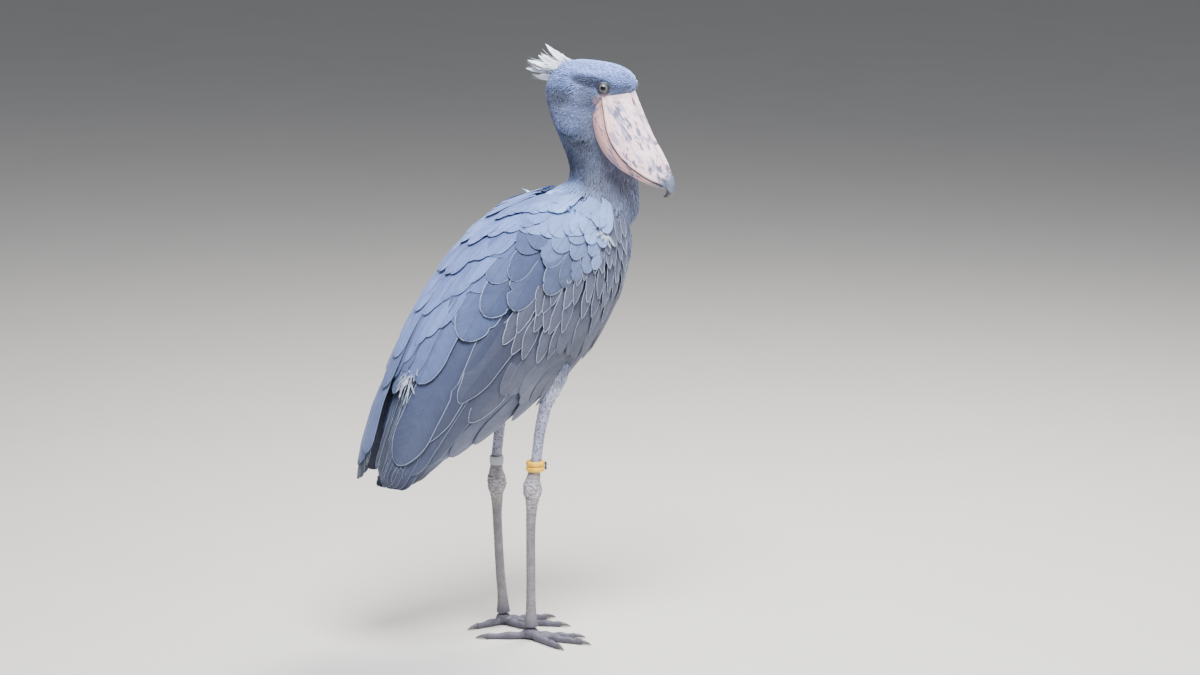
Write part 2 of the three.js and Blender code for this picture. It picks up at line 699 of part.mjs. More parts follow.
// The catch that closes the yellow band, on its front.
const CATCH = { heading: -20, thick: 3.6, wide: 9, tall: 15 };
function bandCatch({ side, z, outer }) {
  const stations = LEGS[side];
  const place = legPoint(stations, shareAt(stations, z), SIDES[side]).point;
  const box = new THREE.BoxGeometry(CATCH.thick, CATCH.wide, CATCH.tall);
  box.translate(outer + GAP + CATCH.thick / 2, 0, 0);
  box.rotateZ(degToRad(CATCH.heading));
  box.translate(place.x, place.y, z);
  return solid(box);
}

const bird = new THREE.Group();
const PLUMAGE = { color: 0x7b879a, roughness: 0.85 };
const HORN = { color: 0xdcbcae, roughness: 0.5 };
const SCALES = { color: 0x8d8c92, roughness: 0.7 };
const CLAWS = { color: 0x4a4648, roughness: 0.45 };
const IRIS = { color: 0xd8dcd2, roughness: 0.15 };
const YELLOW = { color: 0xf0c02a, roughness: 0.45 };
const GREY = { color: 0xa9abb2, roughness: 0.5 };
const DARK = { color: 0x3a3550, roughness: 0.5 };

// The rings worn above the heels: middle height, height and outer radius.
const BANDS = {
  yellow: { side: "right", z: 330, tall: 20, outer: 17.4, inner: 10.4, rolls: 2, finish: YELLOW },
  grey: { side: "left", z: 320, tall: 17, outer: 13.2, inner: 10.4, rolls: 1, finish: GREY },
};

function geometryOf(made) {
  const mesh = made.getMesh();
  const geometry = new THREE.BufferGeometry();
  geometry.setAttribute("position", new THREE.BufferAttribute(new Float32Array(mesh.vertProperties), 3));
  geometry.setIndex(new THREE.BufferAttribute(new Uint32Array(mesh.triVerts), 1));
  geometry.computeVertexNormals();
  return geometry;
}

function add(name, made, finish) {
  const mesh = new THREE.Mesh(geometryOf(largest(made)), new THREE.MeshStandardMaterial(finish));
  mesh.name = name;
  bird.add(mesh);
}

const trunk = bodyForm(TRUNK, 13, 26, 0);
const trunkRoom = bodyForm(TRUNK, 13, 26, GAP);
const neckRoom = neckForm(NECK, 9, 26, GAP);
const headRoom = neckForm(HEAD, 11, 26, GAP);
add("torso", trunk, PLUMAGE);
add("neck", neckForm(NECK, 9, 26, 0).subtract(trunkRoom), PLUMAGE);
const skull = fuse([neckForm(HEAD, 11, 26, 0), lids(-1), lids(1), brow(-1), brow(1), crest()]);
const browRoom = fuse([headRoom, lids(-1), lids(1), brow(-1), brow(1)]);
const sockets = fuse([eyeBall(-1, GAP), eyeBall(1, GAP)]);
add("head", slice(skull, NECK.at(-1).z + GAP, FAR).subtract(sockets), PLUMAGE);
add("bill_upper", upperBill().subtract(fuse([nostril(-1), nostril(1)])).subtract(browRoom), HORN);
add("bill_lower", lowerBill().subtract(billNail(GAP)).subtract(headRoom).subtract(neckRoom), HORN);
add("tail", tail().subtract(trunkRoom), PLUMAGE);
for (const [side, sign] of Object.entries(SIDES)) {
  const half = block(
    new THREE.Vector3(-FAR, sign > 0 ? GAP / 2 : -FAR, 0),
    new THREE.Vector3(FAR, sign > 0 ? FAR : -GAP / 2, FAR),
  );
  add(`wing_${side}`, wing(side, sign > 0 ? 11 : 9).subtract(trunkRoom).subtract(neckRoom).intersect(half), PLUMAGE);
  const stations = LEGS[side];
  add(`eye_${side}`, eyeBall(sign, 0), IRIS);
  const thigh = stations[3].z;
  const heel = stations[6].z;
  add(`thigh_${side}`, slice(legTube(stations, sign, 0, 0.3, 8), thigh + GAP / 2, FAR).subtract(trunkRoom), PLUMAGE);
  add(`shin_${side}`, slice(legTube(stations, sign, 0.2, 0.5, 8), heel + GAP / 2, thigh - GAP / 2), SCALES);
  add(`tarsus_${side}`, slice(legTube(stations, sign, 0.4, 1, 11), stations.at(-1).z + GAP, heel - GAP / 2), SCALES);
  const ankle = legPoint(stations, 1, sign).point;
  const centre = new THREE.Vector3(ankle.x, ankle.y, 0);
  const pad = ball(new THREE.Vector3(ankle.x, ankle.y, 11), { x: 15, y: 15, z: 14 }, 10, 6);
  const foot = fuse([pad, ...TOES[side].map((spec) => toe(centre, spec))]);
  add(`foot_${side}`, slice(foot, 0, ankle.z), SCALES);
  for (const spec of TOES[side]) add(`claw_${side}_${spec.name}`, slice(claw(centre, spec), 0, FAR), CLAWS);
}

for (const [name, ring] of Object.entries(BANDS)) {
  const leg = legTube(LEGS[ring.side], SIDES[ring.side], 0.2, 0.5, 8, GAP);
  add(`band_${name}`, band(ring).subtract(leg), ring.finish);
}
add("band_catch", bandCatch(BANDS.yellow), DARK);

// The part's origin is on the ground under the middle of its box.
const box = new THREE.Box3().setFromObject(bird);
bird.position.set(-(box.min.x + box.max.x) / 2, -(box.min.y + box.max.y) / 2, 0);
const shoebill = new THREE.Group();
shoebill.add(bird);

export default shoebill;
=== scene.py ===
import json
import math

import bpy
import numpy as np
from bpy.props import FloatProperty, FloatVectorProperty, IntProperty, PointerProperty
from mathutils import Matrix, Vector

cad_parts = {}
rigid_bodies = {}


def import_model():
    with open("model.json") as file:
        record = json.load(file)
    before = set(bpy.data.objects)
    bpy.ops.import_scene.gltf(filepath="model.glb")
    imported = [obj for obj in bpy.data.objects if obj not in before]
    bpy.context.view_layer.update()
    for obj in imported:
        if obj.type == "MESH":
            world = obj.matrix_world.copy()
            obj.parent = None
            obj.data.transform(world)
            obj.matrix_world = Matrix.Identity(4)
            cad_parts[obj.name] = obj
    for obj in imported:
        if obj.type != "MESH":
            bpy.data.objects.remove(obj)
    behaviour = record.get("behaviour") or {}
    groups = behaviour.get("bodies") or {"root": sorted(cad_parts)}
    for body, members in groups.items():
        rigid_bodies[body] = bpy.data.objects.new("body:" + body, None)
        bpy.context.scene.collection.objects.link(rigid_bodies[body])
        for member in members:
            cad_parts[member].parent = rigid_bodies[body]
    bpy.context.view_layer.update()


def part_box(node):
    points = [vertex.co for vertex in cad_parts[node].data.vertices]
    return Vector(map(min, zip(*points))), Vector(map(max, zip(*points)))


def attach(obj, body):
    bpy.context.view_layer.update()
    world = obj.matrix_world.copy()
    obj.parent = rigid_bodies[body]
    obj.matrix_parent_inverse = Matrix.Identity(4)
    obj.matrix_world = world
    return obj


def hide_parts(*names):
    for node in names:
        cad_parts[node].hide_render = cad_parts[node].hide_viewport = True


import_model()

bl_info = {
    "name": "Shoebill",
    "version": (1, 0, 0),
    "blender": (4, 5, 0),
    "location": "View3D > Sidebar > Shoebill",
    "description": "Builds a life-size standing shoebill on its frame, piece by piece",
    "category": "Object",
}

MM = 0.001
SIDES = {"right": -1, "left": 1}

# The forms of the bird, in millimetres, with the soles on z = 0, the body facing +x and its left +y.
# Trunk and sheath: x and z of the axis, then the reach to the back, to the belly and to each side.
TRUNK = np.array([
    (-196, 420, 24, 44, 36), (-158, 463, 76, 88, 76), (-85, 545, 118, 146, 97), (0, 632, 133, 174, 106),
    (75, 712, 117, 168, 101), (128, 775, 80, 136, 88), (160, 820, 50, 92, 68),
], float)
SHEATH = np.array([
    (-285, 305, 20, 30, 60), (-235, 372, 54, 58, 75), (-165, 455, 98, 106, 96), (-85, 545, 134, 146, 112),
    (0, 632, 149, 168, 120), (75, 715, 131, 164, 115), (135, 790, 86, 130, 97), (175, 850, 48, 84, 72),
], float)
TAIL_WEDGE = np.array([(-212, 362, 8, 12, 42), (-185, 396, 22, 32, 54), (-150, 440, 36, 56, 58)], float)
TRUNK_RUN = np.array([0.66, 0, 0.75])

# Neck and head: height, x and y of the axis, turn in degrees, reach to the front, the rear and each side.
HEAD_YAW = math.radians(-60)
SKULL = np.array([140.0, -10.0, 1000.0])
NECK = np.array([
    (740, 130, 0, 0, 92, 80, 80), (790, 166, 0, -6, 86, 78, 80), (830, 181, 0, -14, 74, 66, 72),
    (868, 180, -2, -28, 65, 60, 63), (905, 163, -5, -42, 58, 57, 56), (934, 148, -8, -54, 54, 58, 53),
], float)
HEAD = np.array([
    (934, 148, -8, -54, 54, 58, 53), (962, 141, -10, -60, 56, 67, 55), (1000, 140, -10, -60, 80, 76, 58),
    (1026, 140, -10, -60, 112, 74, 57), (1049, 140, -10, -60, 105, 63, 48), (1065, 140, -10, -60, 76, 43, 33),
    (1072, 140, -10, -60, 26, 12, 11),
], float)
EYE = {"radius": 11.0, "forward": 64.0, "side": 38.0, "up": 28.0}

# The bill along its axis: culmen, mouth line, keel and half the width.
BILL_PITCH = math.radians(50.6)
BILL_ROOT = (70.0, -10.0)
BILL = np.array([
    (-30, 60, 8, -34, 38), (0, 51, -4, -52, 46), (32, 42, -18, -63, 51), (64, 34.5, -27, -65.5, 50),
    (96, 29, -28, -58, 46), (126, 25, -22.5, -45, 39), (150, 20, -15.5, -32, 29.5), (168, 14, -8.5, -21, 19),
    (178, 8, -7, -14, 11),
], float)

# Legs: x, z and radius from inside the flank to the ankle.
LEG_SPREAD = 60.0
LEGS = {
    "right": np.array([
        (58, 560, 38), (49, 500, 26), (38, 465, 17), (28, 436, 12.2), (17, 393, 10.2), (10, 346, 9.8),
        (4, 312, 12), (1, 292, 17), (1, 272, 15), (-1, 250, 10.4), (-3, 205, 8.6), (-3, 110, 8.6),
        (-3, 55, 9.6), (-3, 24, 13),
    ], float),
    "left": np.array([
        (30, 560, 38), (16, 490, 26), (8, 452, 17), (3, 424, 12.2), (-2, 386, 10.2), (-8, 338, 9.8),
        (-10, 305, 12), (-9, 285, 17), (-9, 265, 15), (-9, 243, 10.4), (-8, 200, 8.6), (-3, 110, 8.6),
        (2, 55, 9.6), (4, 24, 13),
    ], float),
}
# Shares of the way down a leg's rows: where bare skin begins under the coat, the heel, and the thigh's end.
BARE_FROM, HEEL_AT, THIGH_TO = 2.6 / 13, 7.4 / 13, 3.2 / 13
# Toes: heading in degrees from +x, length to the end of the flesh, and number of joints.
TOES = {
    "right": {"inner": (-28, 82, 2), "middle": (-53, 102, 3), "outer": (-84, 86, 3), "hind": (150, 84, 1)},
    "left": {"inner": (-73, 72, 2), "middle": (-41, 110, 3), "outer": (-6, 88, 3), "hind": (186, 62, 1)},
}


def between(rows, t):
    """Smooth values between rows, for t from 0 at the first row to 1 at the last."""
    last = len(rows) - 1
    spot = np.clip(np.asarray(t, float), -0.08, 1) * last
    i = np.clip(np.floor(spot).astype(int), 0, last - 1)
    f = (spot - i)[..., None]
    a, b, c, d = (rows[np.clip(i + k, 0, last)] for k in (-1, 0, 1, 2))
    return 0.5 * (2 * b + (c - a) * f + (2 * a - 5 * b + 4 * c - d) * f**2 + (3 * b - a - 3 * c + d) * f**3)


def full_turn(count):
    return np.linspace(0, 2 * math.pi, count, endpoint=False)


def unit(v):
    return v / np.maximum(np.linalg.norm(v, axis=-1, keepdims=True), 1e-9)


def mix(a, b, f):
    """a to b by f, for colours given once or for every point."""
    f = np.asarray(f, float)
    f = f[..., None] if f.ndim else f
    return np.asarray(a, float) * (1 - f) + np.asarray(b, float) * f


def ramp(x, low, high):
    """0 below low, 1 above high, and smooth between them."""
    f = np.clip((np.asarray(x, float) - low) / (high - low), 0, 1)
    return f * f * (3 - 2 * f)


def around(rows, t, angle, sign=1, grow=0.0):
    """Points and outward directions on a trunk form. Angle 0 is mid-back, 90 the flank and 180 mid-belly."""
    t, angle, grow = np.broadcast_arrays(*(np.asarray(v, float) for v in (t, angle, grow)))
    here, before, after = between(rows, t), between(rows, t - 1e-3), between(rows, t + 1e-3)
    run = after[..., :2] - before[..., :2]
    run = run / np.linalg.norm(run, axis=-1, keepdims=True)
    up = np.stack([-run[..., 1], np.zeros_like(t), run[..., 0]], -1)
    side = np.zeros_like(up)
    side[..., 1] = sign
    c, s = np.cos(np.radians(angle))[..., None], np.sin(np.radians(angle))[..., None]
    reach, wide = np.where(c > 0, here[..., 2:3], here[..., 3:4]), here[..., 4:5]
    out = unit(up * c * wide + side * s * reach)
    axis = np.stack([here[..., 0], np.zeros_like(t), here[..., 1]], -1)
    return axis + up * reach * c + side * wide * s + out * grow[..., None], out


def neck_points(rows, t, angle, grow=0.0):
    """Points on the neck or head. Angle 0 faces the bill and 90 is the bird's left."""
    here = between(rows, t)
    c, s = np.cos(np.radians(angle)), np.sin(np.radians(angle))
    forward = (np.where(c > 0, here[..., 4], here[..., 5]) + grow) * c
    left = (here[..., 6] + grow) * s
    yaw = np.radians(here[..., 3])
    x = here[..., 1] + forward * np.cos(yaw) - left * np.sin(yaw)
    y = here[..., 2] + forward * np.sin(yaw) + left * np.cos(yaw)
    return np.stack([x, y, here[..., 0] + 0 * x], -1)


def of_head(forward, left, up):
    forward, left, up = np.broadcast_arrays(*(np.asarray(v, float) for v in (forward, left, up)))
    x = SKULL[0] + forward * math.cos(HEAD_YAW) - left * math.sin(HEAD_YAW)
    y = SKULL[1] + forward * math.sin(HEAD_YAW) + left * math.cos(HEAD_YAW)
    return np.stack([x, y, SKULL[2] + up], -1)


def head_way(forward, left, up):
    """A direction given in the head's own frame."""
    return unit(of_head(forward, left, up) - SKULL)


def of_bill(s, left, above):
    s, above = np.asarray(s, float), np.asarray(above, float)
    cos, sin = math.cos(BILL_PITCH), math.sin(BILL_PITCH)
    return of_head(BILL_ROOT[0] + s * cos + above * sin, left, BILL_ROOT[1] - s * sin + above * cos)


def eye_place(sign):
    return of_head(EYE["forward"], EYE["side"] * sign, EYE["up"])


# The frame's origin is under the middle of the part's box, so the eye's node tells how far it is moved.
eye_low, eye_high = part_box("eye_right")
SHIFT = np.array((eye_low + eye_high) / 2) / MM - eye_place(SIDES["right"])
SHIFT[2] = 0


def place(points):
    """From the bird's millimetres to the frame's metres."""
    return (np.asarray(points, float) + SHIFT) * MM


# Meshes

def raw_mesh(name, points, faces):
    """A mesh from points in the bird's millimetres and an array or list of faces of one or more sizes."""
    mesh = bpy.data.meshes.new(name)
    groups = [np.asarray(g) for g in (faces if isinstance(faces, list) else [faces]) if len(g)]
    loops = np.concatenate([g.reshape(-1) for g in groups]).astype(np.int32)
    sizes = np.concatenate([np.full(len(g), g.shape[1]) for g in groups]).astype(np.int32)
    mesh.vertices.add(len(points))
    move_points(mesh, points)
    mesh.loops.add(len(loops))
    mesh.loops.foreach_set("vertex_index", loops)
    mesh.polygons.add(len(sizes))
    mesh.polygons.foreach_set("loop_start", np.concatenate([[0], np.cumsum(sizes)[:-1]]).astype(np.int32))
    mesh.polygons.foreach_set("loop_total", sizes)
    mesh.polygons.foreach_set("use_smooth", np.ones(len(sizes), bool))
    mesh.update(calc_edges=True)
    mesh.validate()
    return mesh


def show(name, mesh, surface=None):
    piece = bpy.data.objects.new(name, mesh)
    bpy.context.scene.collection.objects.link(piece)
    if surface:
        mesh.materials.clear()
        mesh.materials.append(surface)
    return piece


KINDS = {1: ("FLOAT", "value"), 2: ("FLOAT2", "vector"), 3: ("FLOAT_VECTOR", "vector"),
         4: ("FLOAT_COLOR", "color")}


def write(mesh, name, values, domain="POINT"):
    """Stores an attribute on each point or corner of a mesh."""
    values = np.asarray(values, float)
    width = 1 if values.ndim == 1 else values.shape[1]
    if name == "tint" and width == 3:
        values = np.concatenate([values, np.ones((len(values), 1))], 1)
        width = 4
    kind, key = KINDS[width]
    attribute = mesh.attributes.get(name) or mesh.attributes.new(name, kind, domain)
    attribute.data.foreach_set(key, values.astype(np.float32).reshape(-1))


def points_of(mesh):
    """A mesh's points in the bird's millimetres."""
    co = np.zeros(len(mesh.vertices) * 3, np.float32)
    mesh.vertices.foreach_get("co", co)
    return co.reshape(-1, 3).astype(float) / MM - SHIFT


def move_points(mesh, points):
    """Puts a mesh's points at places in the bird's millimetres."""
    mesh.vertices.foreach_set("co", place(points).astype(np.float32).reshape(-1))


def corners_of(mesh):
    """The index of the point at each corner of the faces."""
    corners = np.zeros(len(mesh.loops), np.int32)
    mesh.loops.foreach_get("vertex_index", corners)
    return corners


def normals_of(mesh):
    out = np.zeros(len(mesh.vertices) * 3, np.float32)
    mesh.vertex_normals.foreach_get("vector", out)
    return out.reshape(-1, 3).astype(float)


def loft(rings):
    """Points and faces of a closed skin through rings, with a fan to the middle of each end."""
    rings = np.asarray(rings, float)
    count, size = rings.shape[:2]
    grid = np.arange(count * size).reshape(count, size)
    nxt = np.roll(grid, -1, 1)
    quads = np.stack([grid[:-1], nxt[:-1], nxt[1:], grid[1:]], -1).reshape(-1, 4)
    points = np.concatenate([rings.reshape(-1, 3), rings[0].mean(0)[None], rings[-1].mean(0)[None]])
    first, last = count * size, count * size + 1
    start = np.stack([nxt[0], grid[0], np.full(size, first)], -1)
    end = np.stack([grid[-1], nxt[-1], np.full(size, last)], -1)
    return points, quads, np.concatenate([start, end])


def closed_grid(rows, columns):
    """Faces of a grid that closes both ways, as on a ring."""
    grid = np.arange(rows * columns).reshape(rows, columns)
    down = np.roll(grid, -1, 0)
    return np.stack([grid, np.roll(grid, -1, 1), np.roll(down, -1, 1), down], -1).reshape(-1, 4)


def volume_of(points, quads):
    """Six times the volume inside faces of four corners, negative where they face inwards."""
    a, b, c, d = (points[quads[:, k]] for k in range(4))
    return np.einsum("ij,ij->", a, np.cross(b, c)) + np.einsum("ij,ij->", a, np.cross(c, d))


def outward(points, quads):
    """The faces of a closed form, turned round if they face inwards."""
    return quads if volume_of(points, quads) > 0 else quads[:, ::-1]


def facing_out(points, quads, tris):
    """The faces of a closed form with three and four corners, turned round if they face inwards."""
    volume = volume_of(points, quads)
    p, q, r = (points[tris[:, k]] for k in range(3))
    volume += np.einsum("ij,ij->", p, np.cross(q, r))
    return [quads, tris] if volume > 0 else [quads[:, ::-1], tris[:, ::-1]]


def joined(forms):
    """Several closed forms as one set of points and faces."""
    points, quads, tris, base = [], [], [], 0
    for form in forms:
        p, (q, t) = form[0], facing_out(*form)
        points.append(p)
        quads.append(q + base)
        tris.append(t + base)
        base += len(p)
    return np.concatenate(points), [np.concatenate(quads), np.concatenate(tris)]


def sphere(polar, turn):
    """Rings of points on a ball of radius 1, by the angles from its pole and round its axis."""
    polar = polar[:, None]
    girth = np.sin(polar)
    return np.stack([girth * np.cos(turn), girth * np.sin(turn), np.cos(polar) + 0 * turn], -1)


def ball(centre, radii):
    """A stretched ball as rings from pole to pole."""
    local = sphere(np.linspace(0.03, math.pi - 0.03, 16), full_turn(24))
    return loft(np.asarray(centre) + local * np.asarray(radii))


def tube(path, radii, columns=16, flat=1.0):
    """A closed tube through points, level across, with flat as the share of its height to its width."""
    path = np.asarray(path, float)
    radii = np.broadcast_to(np.asarray(radii, float), (len(path),))
    along = unit(np.gradient(path, axis=0))
    steady = np.where(np.abs(along[:, 2:3]) > 0.9, [[1.0, 0, 0]], [[0, 0, 1.0]])
    across = unit(np.cross(steady, along))
    up = np.cross(along, across)
    turn = full_turn(columns)
    ring = np.cos(turn)[None, :, None] * across[:, None] + flat * np.sin(turn)[None, :, None] * up[:, None]
    return loft(path[:, None] + ring * radii[:, None, None])


def directions(way):
    """Three directions at right angles: one level, one upwards and the way given."""
    along = unit(np.asarray(way, float))
    across = unit(np.cross((0, 0, 1), along))
    return np.array([across, np.cross(along, across), along])


def applied(piece):
    """Turns a piece's modifiers into its plain mesh."""
    graph = bpy.context.evaluated_depsgraph_get()
    graph.update()
    mesh = bpy.data.meshes.new_from_object(piece.evaluated_get(graph))
    piece.modifiers.clear()
    old, piece.data = piece.data, mesh
    bpy.data.meshes.remove(old)
    return piece


def remeshed(name, forms, voxel, rounds, strength=0.5):
    """One smooth closed skin round several forms that run into each other."""
    piece = show(name, raw_mesh(name, *joined(forms)))
    modifier = piece.modifiers.new("one_skin", "REMESH")
    modifier.mode = "VOXEL"
    modifier.voxel_size = voxel * MM
    modifier.use_smooth_shade = True
    smooth = piece.modifiers.new("even", "SMOOTH")
    smooth.factor = strength
    smooth.iterations = rounds
    return applied(piece)


# Noise that gives the same value at the same place, from sums of waves in fixed random directions.

def waves(points, size, seed, octaves=3):
    """Smooth values from about -1 to 1 that change over the given size in millimetres."""
    draw = np.random.default_rng(seed)
    total, weight = np.zeros(len(points)), 0.0
    for octave in range(octaves):
        for _ in range(5):
            way = unit(draw.normal(size=3)) * (2 * math.pi / (size / 2**octave)) * draw.uniform(0.7, 1.3)
            total += np.sin(points @ way + draw.uniform(0, 2 * math.pi)) / 2**octave
        weight += 1.6 / 2**octave
    return total / weight


# Materials

class Recipe:
    """The nodes of one material, added by short calls that give back sockets."""

    def __init__(self, name, **shader):
        self.material = bpy.data.materials.new(name)
        self.material.use_nodes = True
        self.tree = self.material.node_tree
        self.shader = self.tree.nodes["Principled BSDF"]
        for key, value in shader.items():
            self.shader.inputs[key.replace("_", " ").title().replace("Ior", "IOR")].default_value = value

    def add(self, kind, inputs=(), **settings):
        made = self.tree.nodes.new("ShaderNode" + kind)
        for key, value in settings.items():
            setattr(made, key, value)
        for key, value in dict(inputs).items():
            self.put(made.inputs[key], value)
        return made

    def put(self, socket, value):
        if isinstance(value, bpy.types.NodeSocket):
            self.tree.links.new(value, socket)
        elif socket.type == "RGBA":
            socket.default_value = (*tuple(value)[:3], 1.0)
        else:
            socket.default_value = value

    def place(self):
        return self.add("TexCoord").outputs["Object"]

    def kept(self, name, part="Fac"):
        return self.add("Attribute", attribute_name=name).outputs[part]

    def split(self, vector):
        return self.add("SeparateXYZ", {0: vector}).outputs

    def join(self, x, y, z):
        return self.add("CombineXYZ", {0: x, 1: y, 2: z}).outputs[0]

    def math(self, operation, a, b=0.0):
        return self.add("Math", {0: a, 1: b}, operation=operation).outputs[0]

    def times(self, a, b):
        return self.math("MULTIPLY", a, b)

    def plus(self, a, b):
        return self.math("ADD", a, b)

    def ramp(self, value, low, high, start=0.0, end=1.0):
        inputs = {"Value": value, "From Min": low, "From Max": high, "To Min": start, "To Max": end}
        return self.add("MapRange", inputs, interpolation_type="SMOOTHSTEP").outputs[0]

    def mix(self, share, a, b, kind="MIX"):
        inputs = {"Factor": share, 6: a, 7: b}
        return self.add("Mix", inputs, data_type="RGBA", blend_type=kind, clamp_factor=True).outputs[2]

    def noise(self, vector, scale, detail=3.0, rough=0.55):
        inputs = {"Vector": vector, "Scale": scale, "Detail": detail, "Roughness": rough}
        return self.add("TexNoise", inputs).outputs["Fac"]

    def cells(self, vector, scale, feature="DISTANCE_TO_EDGE"):
        return self.add("TexVoronoi", {"Vector": vector, "Scale": scale}, feature=feature).outputs[0]

    def stretch(self, vector, x, y, z):
        return self.add("Mapping", {"Vector": vector, "Scale": (x, y, z)}).outputs[0]

    def bump(self, height, strength, distance):
        return self.add("Bump", {"Height": height, "Strength": strength, "Distance": distance}).outputs[0]

    def finish(self, **inputs):
        for key, value in inputs.items():
            self.put(self.shader.inputs[key.replace("_", " ").title()], value)
        return self.material


def vane_material(look):
    """Large feathers: oblique barbs, a fine shaft, splits in the web and a thin pale edge."""
    m = Recipe("feather_vanes", roughness=0.62, specular_ior_level=0.32, sheen_weight=0.22,
               sheen_roughness=0.45, sheen_tint=(0.72, 0.8, 1.0, 1.0))
    barb, across, _ = m.split(m.kept("grain", "Vector"))
    vary, rim = m.kept("vary"), m.kept("rim")
    lane = m.join(m.times(barb, 0.8), m.times(across, 0.03), m.times(vary, 40.0))
    streak = m.noise(lane, 1.1, 3.0, 0.6)
    cloud = m.noise(m.stretch(m.place(), 1, 1, 1), 38.0, 4.0, 0.6)
    base = m.mix(m.ramp(vary, 0, 1, 0.0, 0.5), m.kept("tint", "Color"), look.vane_shade, "MULTIPLY")
    base = m.mix(m.ramp(streak, 0.35, 0.65, 0.0, 0.34), base, (0.46, 0.46, 0.5), "MULTIPLY")
    # Darker towards the root: partly the feather's own darker base, partly painted shade where the feathers
    # above cover it.
    base = m.mix(m.ramp(m.kept("along"), 1.0, 0.35, 0.0, 0.35), base, (0.56, 0.56, 0.6), "MULTIPLY")
    base = m.mix(m.ramp(cloud, 0.3, 0.7, 0.0, 0.35), base, (0.6, 0.58, 0.6), "MULTIPLY")
    edge = m.ramp(m.plus(rim, m.times(m.math("SUBTRACT", streak, 0.5), 1.2)), 0.4, 1.35, 0.8, 0.0)
    inner = m.times(m.ramp(rim, 2.2, 10.0, 0.34, 0.0), m.ramp(m.kept("pale"), 0.0, 0.4, 0.1, 1.0))
    base = m.mix(inner, base, (0.64, 0.64, 0.66), "MULTIPLY")
    base = m.mix(m.times(edge, m.kept("pale")), base, look.edge)
    shaft = m.ramp(m.math("ABSOLUTE", across), 0.25, 1.0, 0.55, 0.0)
    base = m.mix(shaft, base, (0.05, 0.055, 0.075))
    fine = m.math("SINE", m.times(barb, 2 * math.pi / 1.05))
    height = m.plus(m.times(fine, 0.3), m.times(streak, 1.5))
    normal = m.bump(m.plus(height, m.times(shaft, 1.6)), 0.55, 0.0007)
    rough = m.ramp(streak, 0.2, 0.8, 0.52, 0.72)
    return m.finish(base_color=base, roughness=rough, normal=normal)


def coat_material(name, look, pale, dark):
    """Small feathers: darker at the root, paler and frayed at the tip."""
    m = Recipe(name, roughness=0.72, specular_ior_level=0.25, sheen_weight=0.3, sheen_roughness=0.4,
               sheen_tint=(0.75, 0.82, 1.0, 1.0))
    along, across, vary = m.kept("along"), m.kept("across"), m.kept("vary")
    lane = m.join(m.times(along, 1.5), m.times(across, 7.0), m.times(vary, 60.0))
    fray = m.noise(lane, 2.0, 3.0, 0.6)
    base = m.kept("tint", "Color")
    base = m.mix(m.ramp(vary, 0, 1, 0.0, dark), base, (0.45, 0.45, 0.5), "MULTIPLY")
    base = m.mix(m.ramp(fray, 0.3, 0.72, 0.0, 0.35), base, (0.5, 0.52, 0.58), "MULTIPLY")
    # Darker towards the root: partly the feather's own darker base, partly painted shade where the feathers
    # above cover it.
    base = m.mix(m.ramp(along, 0.5, 0.0, 0.0, 0.4), base, (0.4, 0.42, 0.48), "MULTIPLY")
    tip = m.times(m.ramp(along, 0.55, 1.0), m.ramp(fray, 0.35, 0.6))
    base = m.mix(m.times(tip, pale), base, look.edge)
    normal = m.bump(fray, 0.5, 0.0006)
    return m.finish(base_color=base, normal=normal)


def skin_material():
    """What shows between the feathers: the same markings, darker and downy."""
    m = Recipe("under_skin", roughness=0.85, specular_ior_level=0.15)
    down = m.noise(m.place(), 420.0, 4.0, 0.6)
    tint, bare = m.kept("tint", "Color"), m.kept("bare")
    base = m.mix(m.ramp(down, 0.25, 0.75, 0.35, 0.9), tint, (0.34, 0.36, 0.42), "MULTIPLY")
    fold = m.noise(m.stretch(m.place(), 1, 1, 2.2), 330.0, 3.0, 0.6)
    base = m.mix(bare, base, m.mix(m.ramp(fold, 0.35, 0.7), tint, (0.1, 0.08, 0.11)))
    return m.finish(base_color=base, normal=m.bump(m.mix(bare, down, fold), 0.6, 0.0012))


